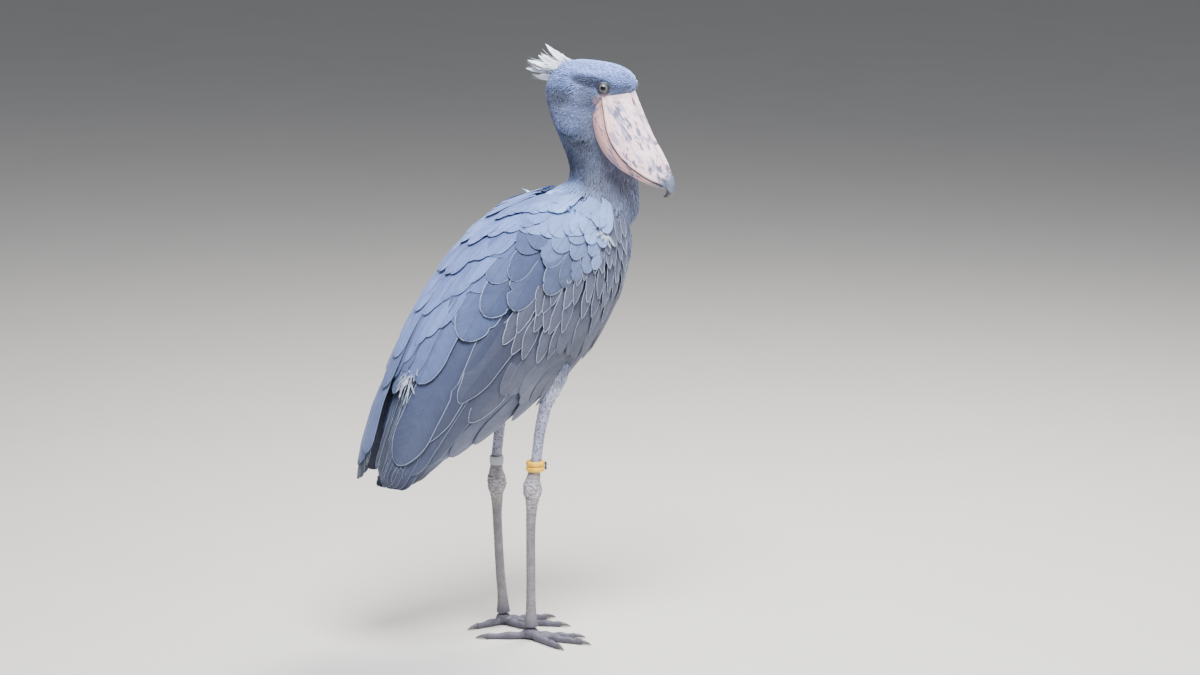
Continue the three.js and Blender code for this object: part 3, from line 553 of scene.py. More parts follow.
def bill_material(name, look, warm, blush):
    """Horn: creamy and pink, with grey-blue streaks along the axis, fine growth lines and a worn gloss."""
    m = Recipe(name, roughness=0.42, specular_ior_level=0.45, subsurface_weight=0.08, subsurface_scale=0.004,
               coat_weight=0.12, coat_roughness=0.32)
    s, left, above = m.split(m.kept("horn", "Vector"))
    lane = m.join(m.times(s, 0.036), m.times(left, 0.13), m.times(above, 0.13))
    wide, fine = m.noise(lane, 0.55, 2.0, 0.5), m.noise(lane, 1.5, 2.5, 0.55)
    blot = m.noise(m.join(m.times(s, 0.03), m.times(left, 0.04), above), 1.3, 4.0, 0.6)
    patch = m.noise(m.join(m.times(s, 0.02), m.times(left, 0.035),
                           m.times(above, 0.035)), 1.0, 2.0, 0.5)
    base = m.mix(m.ramp(blot, 0.38, 0.6), warm, blush)
    base = m.mix(m.times(m.kept("flush"), 0.75), base, blush)
    base = m.mix(m.ramp(wide, 0.55, 0.64, 0.0, 0.7), base, look.streak)
    marks = m.plus(fine, m.ramp(patch, 0.4, 0.66, -0.12, 0.06))
    base = m.mix(m.ramp(marks, 0.55, 0.62, 0.0, 0.85), base, look.streak_dark)
    specks = m.noise(lane, 5.0, 2.0, 0.5)
    base = m.mix(m.ramp(specks, 0.64, 0.7, 0.0, 0.6), base, look.streak_dark)
    tip = m.ramp(m.plus(s, m.times(fine, 24.0)), 158.0, 186.0)
    base = m.mix(tip, base, look.nail)
    # Painted shade from the shade attribute, in the colour of the mouth line.
    base = m.mix(m.kept("shade"), base, look.mouth)
    rings = m.math("SINE", m.times(m.plus(s, m.times(wide, 9.0)), 2 * math.pi / 3.1))
    height = m.plus(m.times(rings, 0.08), m.plus(fine, m.times(wide, 0.7)))
    grit = m.noise(m.place(), 900.0, 2.0)
    normal = m.bump(m.plus(height, m.times(grit, 0.12)), 0.35, 0.0014)
    rough = m.ramp(fine, 0.3, 0.75, 0.34, 0.55)
    return m.finish(base_color=base, roughness=rough, normal=normal)


def eye_material(look):
    """Pupil, iris and dark outer ring by the angle from the line of sight, under a clear gloss."""
    m = Recipe("eye_surface", roughness=0.2, specular_ior_level=0.4, coat_weight=0.35, coat_roughness=0.02)
    polar, turn_x, turn_y = m.split(m.kept("gaze", "Vector"))
    rays = m.noise(m.join(m.times(turn_x, 9.0), m.times(turn_y, 9.0),
                          m.times(polar, 0.02)), 2.4, 4.0, 0.65)
    iris = m.mix(m.ramp(rays, 0.3, 0.7), look.iris, look.iris_dark)
    iris = m.mix(m.ramp(polar, 40.0, 47.0), iris, look.iris_rim)
    base = m.mix(m.ramp(polar, look.pupil_angle - 1.0, look.pupil_angle + 1.2, 1.0, 0.0), iris,
                 (0.004, 0.004, 0.005))
    base = m.mix(m.ramp(polar, 51.0, 55.0), base, (0.03, 0.025, 0.03))
    return m.finish(base_color=base)


def bare_material(look):
    """Bare skin of the lids, finely wrinkled and a little moist."""
    m = Recipe("bare_skin", roughness=0.45, specular_ior_level=0.4, subsurface_weight=0.15,
               subsurface_scale=0.003)
    fold = m.noise(m.stretch(m.place(), 1, 1, 2.4), 520.0, 4.0, 0.6)
    base = m.mix(m.ramp(fold, 0.3, 0.7), look.lid, look.lid_dark)
    base = m.mix(m.kept("shade"), base, look.lid_dark)
    return m.finish(base_color=base, normal=m.bump(fold, 0.5, 0.0008))


def leg_material(look):
    """A net of small scales, plates on the toes, dark specks above and pale wrinkles at the heel."""
    m = Recipe("leg_skin", roughness=0.58, specular_ior_level=0.35)
    spot = m.place()
    zone = m.split(m.kept("zone", "Vector"))
    net = m.cells(m.stretch(spot, 1, 1, 0.72), 260.0)
    net_wide = m.cells(m.stretch(spot, 1, 1, 0.5), 150.0)
    plates = m.math("ABSOLUTE", m.math("SINE", m.times(m.kept("plate"), math.pi)))
    scale = m.mix(zone[1], m.ramp(net, 0.0, 0.22), m.ramp(net_wide, 0.0, 0.2))
    scale = m.mix(m.kept("toe"), scale, m.ramp(plates, 0.0, 0.45))
    speck = m.cells(spot, 230.0, "F1")
    base = m.mix(m.ramp(m.noise(spot, 60.0, 4.0), 0.4, 0.75, 0.0, 0.35), m.kept("tint", "Color"),
                 look.leg_dark)
    base = m.mix(m.times(zone[0], m.ramp(speck, 0.22, 0.4, 0.95, 0.0)), base, look.leg_speck)
    groove = m.times(m.math("SUBTRACT", 1.0, scale), m.mix(m.kept("toe"), (0.22,) * 3, (0.7,) * 3))
    base = m.mix(groove, base, look.leg_dark)
    wrinkle = m.noise(m.stretch(spot, 0.6, 0.6, 3.4), 240.0, 4.0, 0.65)
    base = m.mix(m.times(zone[2], m.ramp(wrinkle, 0.42, 0.62)), base, look.heel)
    grain = m.noise(spot, 1500.0, 2.0)
    height = m.plus(scale, m.times(m.times(wrinkle, zone[2]), 1.5))
    normal = m.bump(m.plus(height, m.times(grain, 0.15)), 0.7, 0.0007)
    rough = m.ramp(scale, 0.0, 1.0, 0.7, 0.5)
    return m.finish(base_color=base, roughness=rough, normal=normal)


def claw_material(look):
    m = Recipe("claw_horn", roughness=0.36, specular_ior_level=0.5)
    streak = m.noise(m.stretch(m.place(), 1, 1, 0.4), 420.0, 4.0, 0.6)
    base = m.mix(m.ramp(streak, 0.3, 0.7), look.claw, look.claw_pale)
    base = m.mix(m.ramp(m.kept("along"), 0.0, 0.35, 0.6, 0.0), base, look.leg_dark)
    return m.finish(base_color=base, normal=m.bump(streak, 0.4, 0.0005))


def plastic_material(name, colour, dirt_and_shade):
    """A worn plastic band: scuffs, faint moulding waves, patchy dirt and painted shade in its grooves and on
    its inner face.
    """
    m = Recipe(name, roughness=0.42, specular_ior_level=0.45, subsurface_weight=0.05, subsurface_scale=0.002)
    spot = m.place()
    scuff = m.noise(m.stretch(spot, 1, 1, 5.0), 260.0, 5.0, 0.7)
    grime = m.noise(spot, 120.0, 4.0, 0.6)
    base = m.mix(m.ramp(grime, 0.45, 0.75, 0.0, 0.5), colour, dirt_and_shade)
    # Painted shade: darker in the grooves, on the inner face and in the catch's groove, in the dirt colour.
    base = m.mix(m.times(m.kept("shade"), 0.7), base, dirt_and_shade)
    base = m.mix(m.ramp(scuff, 0.6, 0.72, 0.0, 0.35), base, (0.75, 0.72, 0.66))
    rough = m.ramp(scuff, 0.3, 0.75, 0.33, 0.6)
    return m.finish(base_color=base, roughness=rough, normal=m.bump(scuff, 0.2, 0.0006))


def stage_material(name, colour):
    m = Recipe(name, roughness=0.7, specular_ior_level=0.2)
    cloud = m.noise(m.place(), 3.0, 3.0)
    base = m.mix(m.ramp(cloud, 0.3, 0.7, 0.0, 0.05), colour, (0.55, 0.55, 0.55), "MULTIPLY")
    return m.finish(base_color=base, normal=m.bump(m.noise(m.place(), 240.0, 4.0), 0.08, 0.002))


MADE = {}


def material(key, maker, *values):
    """Each material is made once."""
    if key not in MADE:
        MADE[key] = maker(*values)
    return MADE[key]


# Where a point of the skin lies on the body, and what grows there

WING_EDGES = np.array([
    (0.16, 26, 80), (0.3, 12, 92), (0.46, 8, 98), (0.62, 9, 106), (0.74, 14, 108), (0.83, 40, 92),
], float)


def trunk_spot(points, rows=SHEATH):
    """The place along the trunk from 0 to 1 and the angle from mid-back in degrees."""
    steps = np.linspace(0, 1, 121)
    axis = between(rows, steps)
    t = np.empty(len(points))
    for i in range(0, len(points), 20000):
        gap = points[i:i + 20000, None, ::2] - axis[None, :, :2]
        t[i:i + 20000] = steps[np.argmin((gap**2).sum(-1), 1)]
    here, ahead = between(rows, t), between(rows, t + 1e-3)
    run = ahead[:, :2] - between(rows, t - 1e-3)[:, :2]
    run /= np.linalg.norm(run, axis=1, keepdims=True)
    rise = (points[:, 0] - here[:, 0]) * -run[:, 1] + (points[:, 2] - here[:, 1]) * run[:, 0]
    reach = np.where(rise > 0, here[:, 2], here[:, 3])
    return t, np.degrees(np.arctan2(np.abs(points[:, 1]) / here[:, 4], rise / reach))


def head_spot(points):
    """Forward, left and up of the skull's middle, in the head's own frame."""
    d = points - SKULL
    c, s = math.cos(HEAD_YAW), math.sin(HEAD_YAW)
    return d[:, 0] * c + d[:, 1] * s, -d[:, 0] * s + d[:, 1] * c, d[:, 2]


def leg_middle(name, z):
    """How far forward the middle line of a leg is at a height."""
    rows = LEGS[name][::-1]
    return np.interp(z, rows[:, 1], rows[:, 0])


def leg_spot(points):
    """The nearer leg's side, the distance from its middle line and the line's radius at that height."""
    side = np.where(points[:, 1] > 0, 1, -1)
    gap, radius = np.empty(len(points)), np.empty(len(points))
    for name, sign in SIDES.items():
        rows, mine = LEGS[name][::-1], side == sign
        middle = leg_middle(name, points[mine, 2])
        gap[mine] = np.hypot(points[mine, 0] - middle, points[mine, 1] - sign * LEG_SPREAD)
        radius[mine] = np.interp(points[mine, 2], rows[:, 1], rows[:, 2])
    return side, gap, radius


def plumage(points, look):
    """The coat's colour at points, from the head's, neck's and trunk's own markings."""
    t, angle = trunk_spot(points)
    forward, left, up = head_spot(points)
    z = points[:, 2]
    # The shoulder is partly paler plumage and partly a painted highlight where the light from above falls on
    # it.
    back = mix(look.back, look.shoulder_and_highlight, ramp(t, 0.62, 0.86))
    flank = mix(look.flank, look.breast, ramp(t, 0.4, 0.8))
    trunk = mix(back, flank, ramp(angle, 45, 85))
    trunk = mix(trunk, look.belly, ramp(angle, 120, 165) * 0.8)
    trunk = mix(trunk, look.rump, ramp(t, 0.3, 0.12) * ramp(angle, 100, 70))
    trunk = mix(trunk, look.thigh, ramp(z, 540, 470) * ramp(angle, 95, 125))
    around_neck = np.degrees(np.arctan2(left, forward))
    neck = mix(look.neck_side, look.neck_front, ramp(np.abs(around_neck), 70, 20))
    neck = mix(neck, look.nape, ramp(np.abs(around_neck), 125, 160))
    neck = mix(neck, look.breast, ramp(z, 850, 780) * 0.7)
    neck = mix(neck, look.shoulder_and_highlight, ramp(z, 880, 800) * ramp(np.abs(around_neck), 45, 90) * 0.75)
    # The crown is lighter than the cheek partly by its own colour and partly as a painted highlight where the
    # light from above falls.
    head = mix(look.cheek, look.crown, ramp(up, 12, 48))
    head = mix(head, look.nape, ramp(forward, -30, -62) * ramp(up, 50, 10))
    brow_shade, ear, jaw, fold = face(points)
    # The pale jaw, with a painted highlight on the raised ring round the ear.
    head = mix(head, look.crown, jaw * 0.4)
    # Painted shade under the brow and in the hollow of the ear.
    head = mix(head, look.brow_shade, np.maximum(brow_shade * 0.9, ear * 0.65))
    head = mix(head, look.chin, ramp(up, -8, -36) * ramp(forward, 10, 50))
    colour = mix(trunk, neck, ramp(z, 770, 850) * ramp(points[:, 0], 60, 110))
    colour = mix(colour, head, ramp(z, 930, 972))
    # Painted shadow in the fold under the jaw.
    colour = mix(colour, look.brow_shade, fold * 0.3)
    colour = mix(colour, (0.4, 0.31, 0.38), lore(points))
    grain = 1 + 0.1 * waves(points, 60, 21) + 0.07 * waves(points, 17, 22)
    warm = ramp(waves(points, 90, 23), 0.1, 0.9)[:, None] * np.array([0.06, 0.01, -0.03])
    return np.clip(colour * (grain[:, None] + warm), 0.004, 0.9)


def lore(points):
    """The bare patch between the eye and the corner of the mouth."""
    forward, left, up = head_spot(points)
    reach = np.hypot((forward - 66) / 22, (up - 6 - 0.1 * (forward - 66)) / 13)
    return ramp(reach, 1.15, 0.8) * (np.abs(left) > 18)


def face(points):
    """Shares of painted shade under the brow and in the hollow of the ear, the pale jaw with a painted
    highlight on the ring round the ear, and painted shadow in the fold under the jaw.
    """
    forward, left, up = head_spot(points)
    # Painted shade in a band over the eye under the overhanging crown, and where the forehead overhangs the
    # bill's root.
    brow_shade = ramp(np.hypot((forward - 44) / 46, (up - 38 - 0.16 * (44 - forward)) / 11), 1.3, 0.6)
    brow_shade = np.maximum(brow_shade * ramp(forward, 96, 80),
                      0.7 * ramp(forward, 66, 82) * np.exp(-((up - 29) / 7) ** 2))
    brow_shade = brow_shade * (np.abs(left) > 12)
    # The hollow of the ear is sunk into the skin and painted darker: painted shade.
    ear_gap = np.hypot((forward + 22) / 24, (up - 8) / 19)
    ear = ramp(ear_gap, 1.4, 0.4) * (np.abs(left) > 12)
    # A paler ring on the raised rim of the ear's hollow: a painted highlight.
    ring = np.exp(-((ear_gap - 1.65) / 0.28) ** 2) * (np.abs(left) > 12)
    jaw = ramp(np.hypot((forward + 4) / 38, (up + 30) / 22), 1.3, 0.6)
    # A painted shadow along the fold under the jaw, which is also sunk into the skin.
    fold = np.exp(-((up + 66 + 0.5 * (forward + 10)) / 11) ** 2)
    fold = fold * ramp(forward, -62, -40) * ramp(forward, 45, 25)
    return brow_shade, ear, np.maximum(jaw, 0.7 * ring), fold


def coat_fields(points):
    """Lie, size and the share of each region of the coat, for points of the skin."""
    t, angle = trunk_spot(points)
    forward, _, up = head_spot(points)
    z = points[:, 2]
    _, gap, radius = leg_spot(points)
    ahead = head_way(1.0, 0.0, 0.0)
    lie = np.broadcast_to(-TRUNK_RUN, points.shape).copy()
    neck_share = ramp(z, 740, 860) * ramp(points[:, 0], 40, 110)
    lie = mix(lie, np.array([-0.12, 0, -1.0]), neck_share)
    cheek = -ahead * 0.8 + np.array([0, 0, -0.75])
    crown = -ahead + np.array([0, 0, 0.12])
    head_lie = mix(cheek, crown, ramp(up, 15, 50))
    head_lie = mix(head_lie, np.array([0, 0, -1.0]) - ahead * 0.2, ramp(forward, -20, -60) * ramp(up, 60, 25))
    head_share = ramp(z, 935, 985)
    lie = mix(lie, head_lie, head_share)
    thigh = ramp(gap - radius, 10, 2) * ramp(z, 545, 500)
    lie = mix(lie, np.array([0.05, 0, -1.0]), thigh)
    ripple = np.stack([waves(points, 46, 31), waves(points, 46, 32), waves(points, 46, 33)], -1)
    lie = unit(lie + ripple * 0.16)

    size = np.where(angle > 70, 26.0, 34.0)
    size = size + (17 - size) * neck_share
    size = size + (11 - size) * head_share
    near_bill = ramp(np.hypot(forward - 70, up - 10), 60, 25) * head_share
    size = size + (7.0 - size) * near_bill
    size = size + (19 - size) * thigh
    size = size + (12 - size) * thigh * ramp(z, 470, 440)
    size *= 1 + 0.12 * waves(points, 30, 34)

    eye_gap = np.minimum(*(np.linalg.norm(points - eye_place(s), axis=1) for s in SIDES.values()))
    head = ramp(z, 938, 948) * ramp(eye_gap, 12.5, 14.0) * (lore(points) < 0.5)
    neck = ramp(z, 948, 938) * ramp(z, 800, 812) * ramp(points[:, 0], 70, 90)
    thighs = (thigh > 0.35).astype(float)
    rest = (1 - ramp(z, 800, 812) * ramp(points[:, 0], 70, 90)) * (1 - thighs) * (z < 940)
    top = np.interp(t, WING_EDGES[:, 0], WING_EDGES[:, 1])
    low = np.interp(t, (0.1, 0.3, 0.5, 0.72, 0.84), (90, 132, 150, 140, 96))
    under = ramp(angle, top + 8, top + 14) * ramp(angle, low, low - 6)
    under = under * ramp(t, 0.1, 0.16) * ramp(t, 0.82, 0.78)
    rest *= (1 - under) * (1 - ramp(t, 0.36, 0.33) * ramp(angle, 100, 90))
    breast = rest * (angle > 72) * (t > 0.52)
    belly = rest * (angle > 72) * (t <= 0.52)
    mantle = rest * (angle <= 72)
    shares = {"head": head, "neck": neck, "breast": breast, "belly": belly, "mantle": mantle,
              "thighs": thighs}
    return lie, size, shares


def unwrap(mesh, points):
    """The skin's unwrap by its own axes, one place for each corner: head and neck, trunk and each thigh."""
    t, angle = trunk_spot(points)
    side, gap, radius = leg_spot(points)
    z = points[:, 2]
    upper = (z > 806) & (points[:, 0] > 80)
    thigh = (gap < radius + 4) & (z < 500) & ~upper
    turn = np.where(points[:, 1] >= 0, angle, -angle) / 360 + 0.5
    centre = between(np.concatenate([NECK, HEAD[1:]]), np.clip((z - 740) / 332, 0, 1))
    round_neck = np.arctan2(points[:, 1] - centre[:, 2], points[:, 0] - centre[:, 1]) / (2 * math.pi) + 0.5
    leg_x = np.where(side > 0, leg_middle("left", z), leg_middle("right", z))
    round_leg = np.arctan2(points[:, 1] - side * LEG_SPREAD, points[:, 0] - leg_x) / (2 * math.pi) + 0.5
    u = np.where(upper, round_neck, np.where(thigh, round_leg, turn))
    v = np.where(upper, (z - 740) / 340, np.where(thigh, (z - 400) / 120, t))
    part = np.where(upper, 0, np.where(thigh, np.where(side > 0, 2, 3), 1))
    corner = corners_of(mesh)
    starts, totals = np.zeros(len(mesh.polygons), np.int32), np.zeros(len(mesh.polygons), np.int32)
    mesh.polygons.foreach_get("loop_start", starts)
    mesh.polygons.foreach_get("loop_total", totals)
    owner = np.repeat(np.arange(len(totals)), totals)
    first = corner[starts][owner]
    cu, cpart = u[corner], part[first]
    jump = cu - u[first]
    cu = np.where(jump > 0.5, cu - 1, np.where(jump < -0.5, cu + 1, cu))
    cu = np.clip(np.where(part[corner] == cpart, cu, u[first]), -0.02, 1.02)
    cv = np.clip(np.where(part[corner] == cpart, v[corner], v[first]), 0, 1)
    origin = np.array([(0.02, 0.52), (0.02, 0.02), (0.54, 0.52), (0.78, 0.52)])[cpart]
    reach = np.array([(0.46, 0.44), (0.94, 0.46), (0.2, 0.44), (0.2, 0.44)])[cpart]
    return origin + reach * np.stack([cu, cv], -1)


# Small feathers: closed templates one metre long, scattered over the skin by a node tree

def tuft(width, fullness, strands, arch, seed):
    """One small feather, lying along +y with its back to +z: a leaf and the loose barbs at its end."""
    draw = np.random.default_rng(seed)
    points, faces, along, across = [], [], [], []
    body = 1.0 if not strands else 0.8
    rows = np.array([0.0, 0.3, 0.62, 0.86, 0.985])
    widths = width * np.array([0.35, 0.8, 1.0, fullness, 0.12])
    thick = np.array([0.02, 0.032, 0.03, 0.02, 0.005])
    for s, w, h in zip(rows, widths, thick):
        lift = arch * math.sin(math.pi * s * 0.9)
        fall = w * 0.3
        points += [(-w, s * body, lift - fall), (0, s * body, lift + h), (w, s * body, lift - fall),
                   (0, s * body, lift - h * 0.4)]
        along += [s * body] * 4
        across += [-1, 0, 1, 0]
    for i in range(len(rows) - 1):
        for k in range(4):
            a, b = 4 * i + k, 4 * i + (k + 1) % 4
            faces.append((a, b, b + 4, a + 4))
    faces += [(3, 2, 1, 0), tuple(4 * (len(rows) - 1) + k for k in range(4))]
    for i in range(strands):
        side = (i + 0.5) / strands * 2 - 1 + draw.uniform(-0.12, 0.12)
        start = np.array([side * width * 0.75, draw.uniform(0.4, 0.62), 0])
        end = np.array([side * width * draw.uniform(1.0, 1.7), draw.uniform(0.84, 1.06),
                        draw.uniform(-0.03, 0.06)])
        start[2] = arch * math.sin(math.pi * start[1] * 0.9) - 0.01 - abs(side) * 0.3 * width
        middle = (start + end) / 2 + [side * width * 0.16, 0, 0.012]
        girth, base = width * draw.uniform(0.11, 0.19), len(points)
        points += [tuple(start), tuple(middle + [girth, 0, 0]), tuple(middle + [0, 0, girth * 0.7]),
                   tuple(middle - [girth, 0, 0]), tuple(end)]
        along += [start[1], middle[1], middle[1], middle[1], 1.0]
        across += [side] * 5
        faces += [(base, base + 2, base + 1), (base, base + 3, base + 2), (base, base + 1, base + 3),
                  (base + 4, base + 1, base + 2), (base + 4, base + 2, base + 3),
                  (base + 4, base + 3, base + 1)]
    return np.array(points), faces, np.array(along), np.array(across)


def tuft_mesh(name, width, fullness, strands, arch, seed):
    points, faces, along, across = tuft(width, fullness, strands, arch, seed)
    mesh = bpy.data.meshes.new(name)
    mesh.from_pydata([tuple(p) for p in points], [], faces)
    mesh.polygons.foreach_set("use_smooth", np.ones(len(mesh.polygons), bool))
    write(mesh, "along", along)
    write(mesh, "across", across)
    write(mesh, "patch", np.stack([np.clip(points[:, 0], -0.5, 0.5), points[:, 1] - 0.5, 0 * along], -1))
    mesh.update()
    return mesh


def add_node(tree, kind, inputs=(), **settings):
    """One node with its settings, and its inputs set or linked."""
    made = tree.nodes.new(kind)
    for key, value in settings.items():
        setattr(made, key, value)
    for key, value in dict(inputs).items():
        if isinstance(value, bpy.types.NodeSocket):
            tree.links.new(value, made.inputs[key])
        else:
            made.inputs[key].default_value = value
    return made


def scatter_tree():
    """Geometry Nodes that grow feathers where the region's attribute allows, along the stored lie."""
    tree = bpy.data.node_groups.new("feather_scatter", "GeometryNodeTree")
    tree.is_modifier = True
    tree.interface.new_socket(name="Geometry", in_out="OUTPUT", socket_type="NodeSocketGeometry")
    sockets = (("Geometry", "Geometry"), ("Feathers", "Collection"), ("Region", "String"),
               ("Spacing", "Float"), ("Lift", "Float"), ("Stray", "Float"), ("Seed", "Int"),
               ("Material", "Material"))
    for name, kind in sockets:
        tree.interface.new_socket(name=name, in_out="INPUT", socket_type="NodeSocket" + kind)
    given = tree.nodes.new("NodeGroupInput").outputs

    def geometry(kind, inputs, **settings):
        return add_node(tree, "GeometryNode" + kind, inputs, **settings).outputs

    def function(kind, inputs, **settings):
        return add_node(tree, "FunctionNode" + kind, inputs, **settings).outputs

    def kept(name, kind="FLOAT_VECTOR"):
        return geometry("InputNamedAttribute", {"Name": name}, data_type=kind)[0]

    def sums(operation, a, b):
        return add_node(tree, "ShaderNodeMath", {0: a, 1: b}, operation=operation).outputs[0]

    def scaled(vector, by):
        return add_node(tree, "ShaderNodeVectorMath", {0: vector, "Scale": by}, operation="SCALE").outputs[0]

    def joined_axes(x, y, z):
        return add_node(tree, "ShaderNodeCombineXYZ", {0: x, 1: y, 2: z}).outputs[0]

    dense = sums("DIVIDE", 2.6, sums("POWER", given["Spacing"], 2.0))
    spread = geometry("DistributePointsOnFaces",
                      {"Mesh": given["Geometry"], "Distance Min": given["Spacing"], "Density Max": dense,
                       "Density Factor": kept(given["Region"], "FLOAT"), "Seed": given["Seed"]},
                      distribute_method="POISSON")
    laid = function("AxesToRotation", {"Primary Axis": spread["Normal"], "Secondary Axis": kept("lie")},
                    primary_axis="Z", secondary_axis="Y")[0]
    lift, stray = given["Lift"], given["Stray"]
    less = sums("SUBTRACT", 0.0, stray)
    least = joined_axes(sums("MULTIPLY", lift, 0.55), less, less)
    most = joined_axes(sums("MULTIPLY", lift, 1.6), stray, stray)
    turn = function("RandomValue", {0: least, 1: most, "Seed": given["Seed"]}, data_type="FLOAT_VECTOR")[0]
    by = function("EulerToRotation", {0: turn})[0]
    way = function("RotateRotation", {0: laid, 1: by}, rotation_space="LOCAL")[0]
    share = function("RandomValue", {0: (0.85, 0.82, 0.8), 1: (1.2, 1.2, 1.2), "Seed": 5},
                     data_type="FLOAT_VECTOR")[0]
    kinds = geometry("CollectionInfo", {"Collection": given["Feathers"], "Separate Children": True,
                                        "Reset Children": True})[0]
    placed = geometry("InstanceOnPoints",
                      {"Points": spread["Points"], "Instance": kinds, "Pick Instance": True, "Rotation": way,
                       "Scale": scaled(share, kept("size", "FLOAT"))})[0]
    chance = function("RandomValue", {"Seed": 11}, data_type="FLOAT")[1]
    varied = geometry("StoreNamedAttribute", {"Geometry": placed, "Name": "vary", "Value": chance},
                      data_type="FLOAT", domain="INSTANCE")[0]
    real = geometry("RealizeInstances", {"Geometry": varied})[0]
    spot = add_node(tree, "ShaderNodeVectorMath", {0: kept("root_place"), 1: scaled(kept("patch"), 0.003)},
                    operation="ADD").outputs[0]
    mapped = geometry("StoreNamedAttribute", {"Geometry": real, "Name": "OFBake", "Value": spot},
                      data_type="FLOAT2", domain="CORNER")[0]
    dressed = geometry("SetMaterial", {"Geometry": mapped, "Material": given["Material"]})[0]
    tree.links.new(dressed, tree.nodes.new("NodeGroupOutput").inputs[0])
    return tree


# Kinds of small feather: width, fullness at the tip, loose barbs and arch of each template.
KINDS_OF_TUFT = {
    "short": [(0.16, 0.75, 0, 0.05), (0.2, 0.7, 2, 0.06), (0.14, 0.6, 3, 0.05)],
    "frayed": [(0.15, 0.6, 5, 0.05), (0.18, 0.65, 6, 0.07), (0.11, 0.5, 7, 0.05), (0.13, 0.45, 4, 0.08)],
    "pointed": [(0.18, 0.6, 4, 0.06), (0.21, 0.62, 5, 0.07), (0.16, 0.5, 5, 0.08)],
    "broad": [(0.3, 0.85, 3, 0.06), (0.33, 0.9, 2, 0.07), (0.27, 0.8, 4, 0.05)],
}
# Regions of the coat: kind of feather, spacing in millimetres, lift and stray in radians, and how pale and
# how dark single feathers may be.
COATS = {
    "head": ("short", 2.6, 0.035, 0.06, 0.08, 0.09),
    "neck": ("frayed", 3.4, 0.06, 0.11, 0.18, 0.18),
    "breast": ("pointed", 4.6, 0.09, 0.12, 0.4, 0.22),
    "belly": ("frayed", 5.4, 0.1, 0.14, 0.25, 0.25),
    "mantle": ("broad", 6.6, 0.08, 0.08, 0.3, 0.2),
    "thighs": ("frayed", 4.0, 0.08, 0.12, 0.2, 0.2),
}


# Large feathers: closed blades with a shaft, laid on the sheath in tracts. A grid has rows and columns.
VANE_GRID = (24, 9)
PLUME_GRID = (18, 5)


def blade_faces(rows, columns):
    """Faces of a blade whose upper and lower grids share their edge, and the lower grid's index."""
    top = np.arange(rows * columns).reshape(rows, columns)
    low = top.copy()
    low[1:-1, 1:-1] = rows * columns + np.arange((rows - 2) * (columns - 2)).reshape(rows - 2, columns - 2)

    def quads(grid):
        return np.stack([grid[:-1, :-1], grid[:-1, 1:], grid[1:, 1:], grid[1:, :-1]], -1).reshape(-1, 4)

    return np.concatenate([quads(top)[:, ::-1], quads(low)])


def blade(at, half, pointed, rows, columns, draw, curve=1 / 200, tilt=0.1, thick=1.1, blunt=2.4, ripple=0.5,
          turned=1):
    """Points and values of one feather whose middle line and outward direction come from at(s)."""
    x = np.linspace(0, 1, rows)
    s = 1 - (1 - x) ** 1.3
    centre, out = at(s)
    along = unit(np.gradient(centre, axis=0))
    across = unit(np.cross(out, along)) * turned
    up = unit(np.cross(np.cross(along, out), along)) * -1
    up = up * np.sign((up * out).sum(-1, keepdims=True))
    length = np.concatenate([[0], np.cumsum(np.linalg.norm(np.diff(centre, axis=0), axis=1))])
    taper = min(0.5, (1.15 + 2.4 * pointed) * half / length[-1])
    tip = np.clip((s - 1 + taper) / taper, 0, 1)
    rounded = np.sqrt(np.maximum(1 - tip**blunt, 0))
    full = np.where(s < 0.5, 0.55 + 0.45 * ramp(s, 0, 0.5), rounded * (1 - pointed) + (1 - tip) * pointed)
    u = np.linspace(-1, 1, columns)
    nick = np.ones((rows, columns))
    for _ in range(draw.integers(0, 3)):
        where, side = draw.uniform(0.45, 0.93), draw.choice([-1, 1])
        dent = np.exp(-((s - where) / 0.03) ** 2)[:, None] * np.clip(u * side, 0, 1)[None] ** 3
        nick -= draw.uniform(0.08, 0.24) * dent
    width = half * np.maximum(full, 0.05)
    wide = u[None] * width[:, None] * nick
    phase = draw.uniform(0, 6.28, 2)
    wave = ripple * u[None] ** 2 * np.sin(s[:, None] * 7 + phase[0] + u[None] * 1.5)
    end = ramp(s, 0.6, 1.0)[:, None] * draw.uniform(-0.5, 0.5)
    shaft = 0.45 * np.exp(-(u / 0.12) ** 2)[None] * (1 - s[:, None] * 0.8)
    rise = tilt * wide - wide**2 * curve + wave + end + shaft
    top = centre[:, None] + across[:, None] * wide[..., None] + up[:, None] * rise[..., None]
    jag = draw.uniform(-1, 1, (rows, columns)) * (np.abs(u)[None] > 0.99) * 0.35
    top = top + along[:, None] * jag[..., None]
    deep = thick * (1 - u[None] ** 2) * (1 - 0.7 * s[:, None])
    low = (top - up[:, None] * deep[..., None])[1:-1, 1:-1]
    left = length[-1] - length
    rim = np.minimum((1 - np.abs(u))[None] * width[:, None], left[:, None] * np.ones_like(wide))
    barb = length[:, None] - 1.1 * np.abs(wide)
    grain = np.stack([barb, wide, length[:, None] * np.ones_like(wide)], -1)
    flat = np.stack([u[None] * np.ones_like(wide) * 0.5 + 0.5, s[:, None] * np.ones_like(wide)], -1)
    inner = (slice(1, -1), slice(1, -1))
    values = {"rim": rim, "grain": grain, "flat": flat, "s": s[:, None] * np.ones_like(wide)}
    for key, value in values.items():
        width = value.shape[2:]
        values[key] = np.concatenate([value.reshape(-1, *width), value[inner].reshape(-1, *width)])
    return np.concatenate([top.reshape(-1, 3), low.reshape(-1, 3)]), values


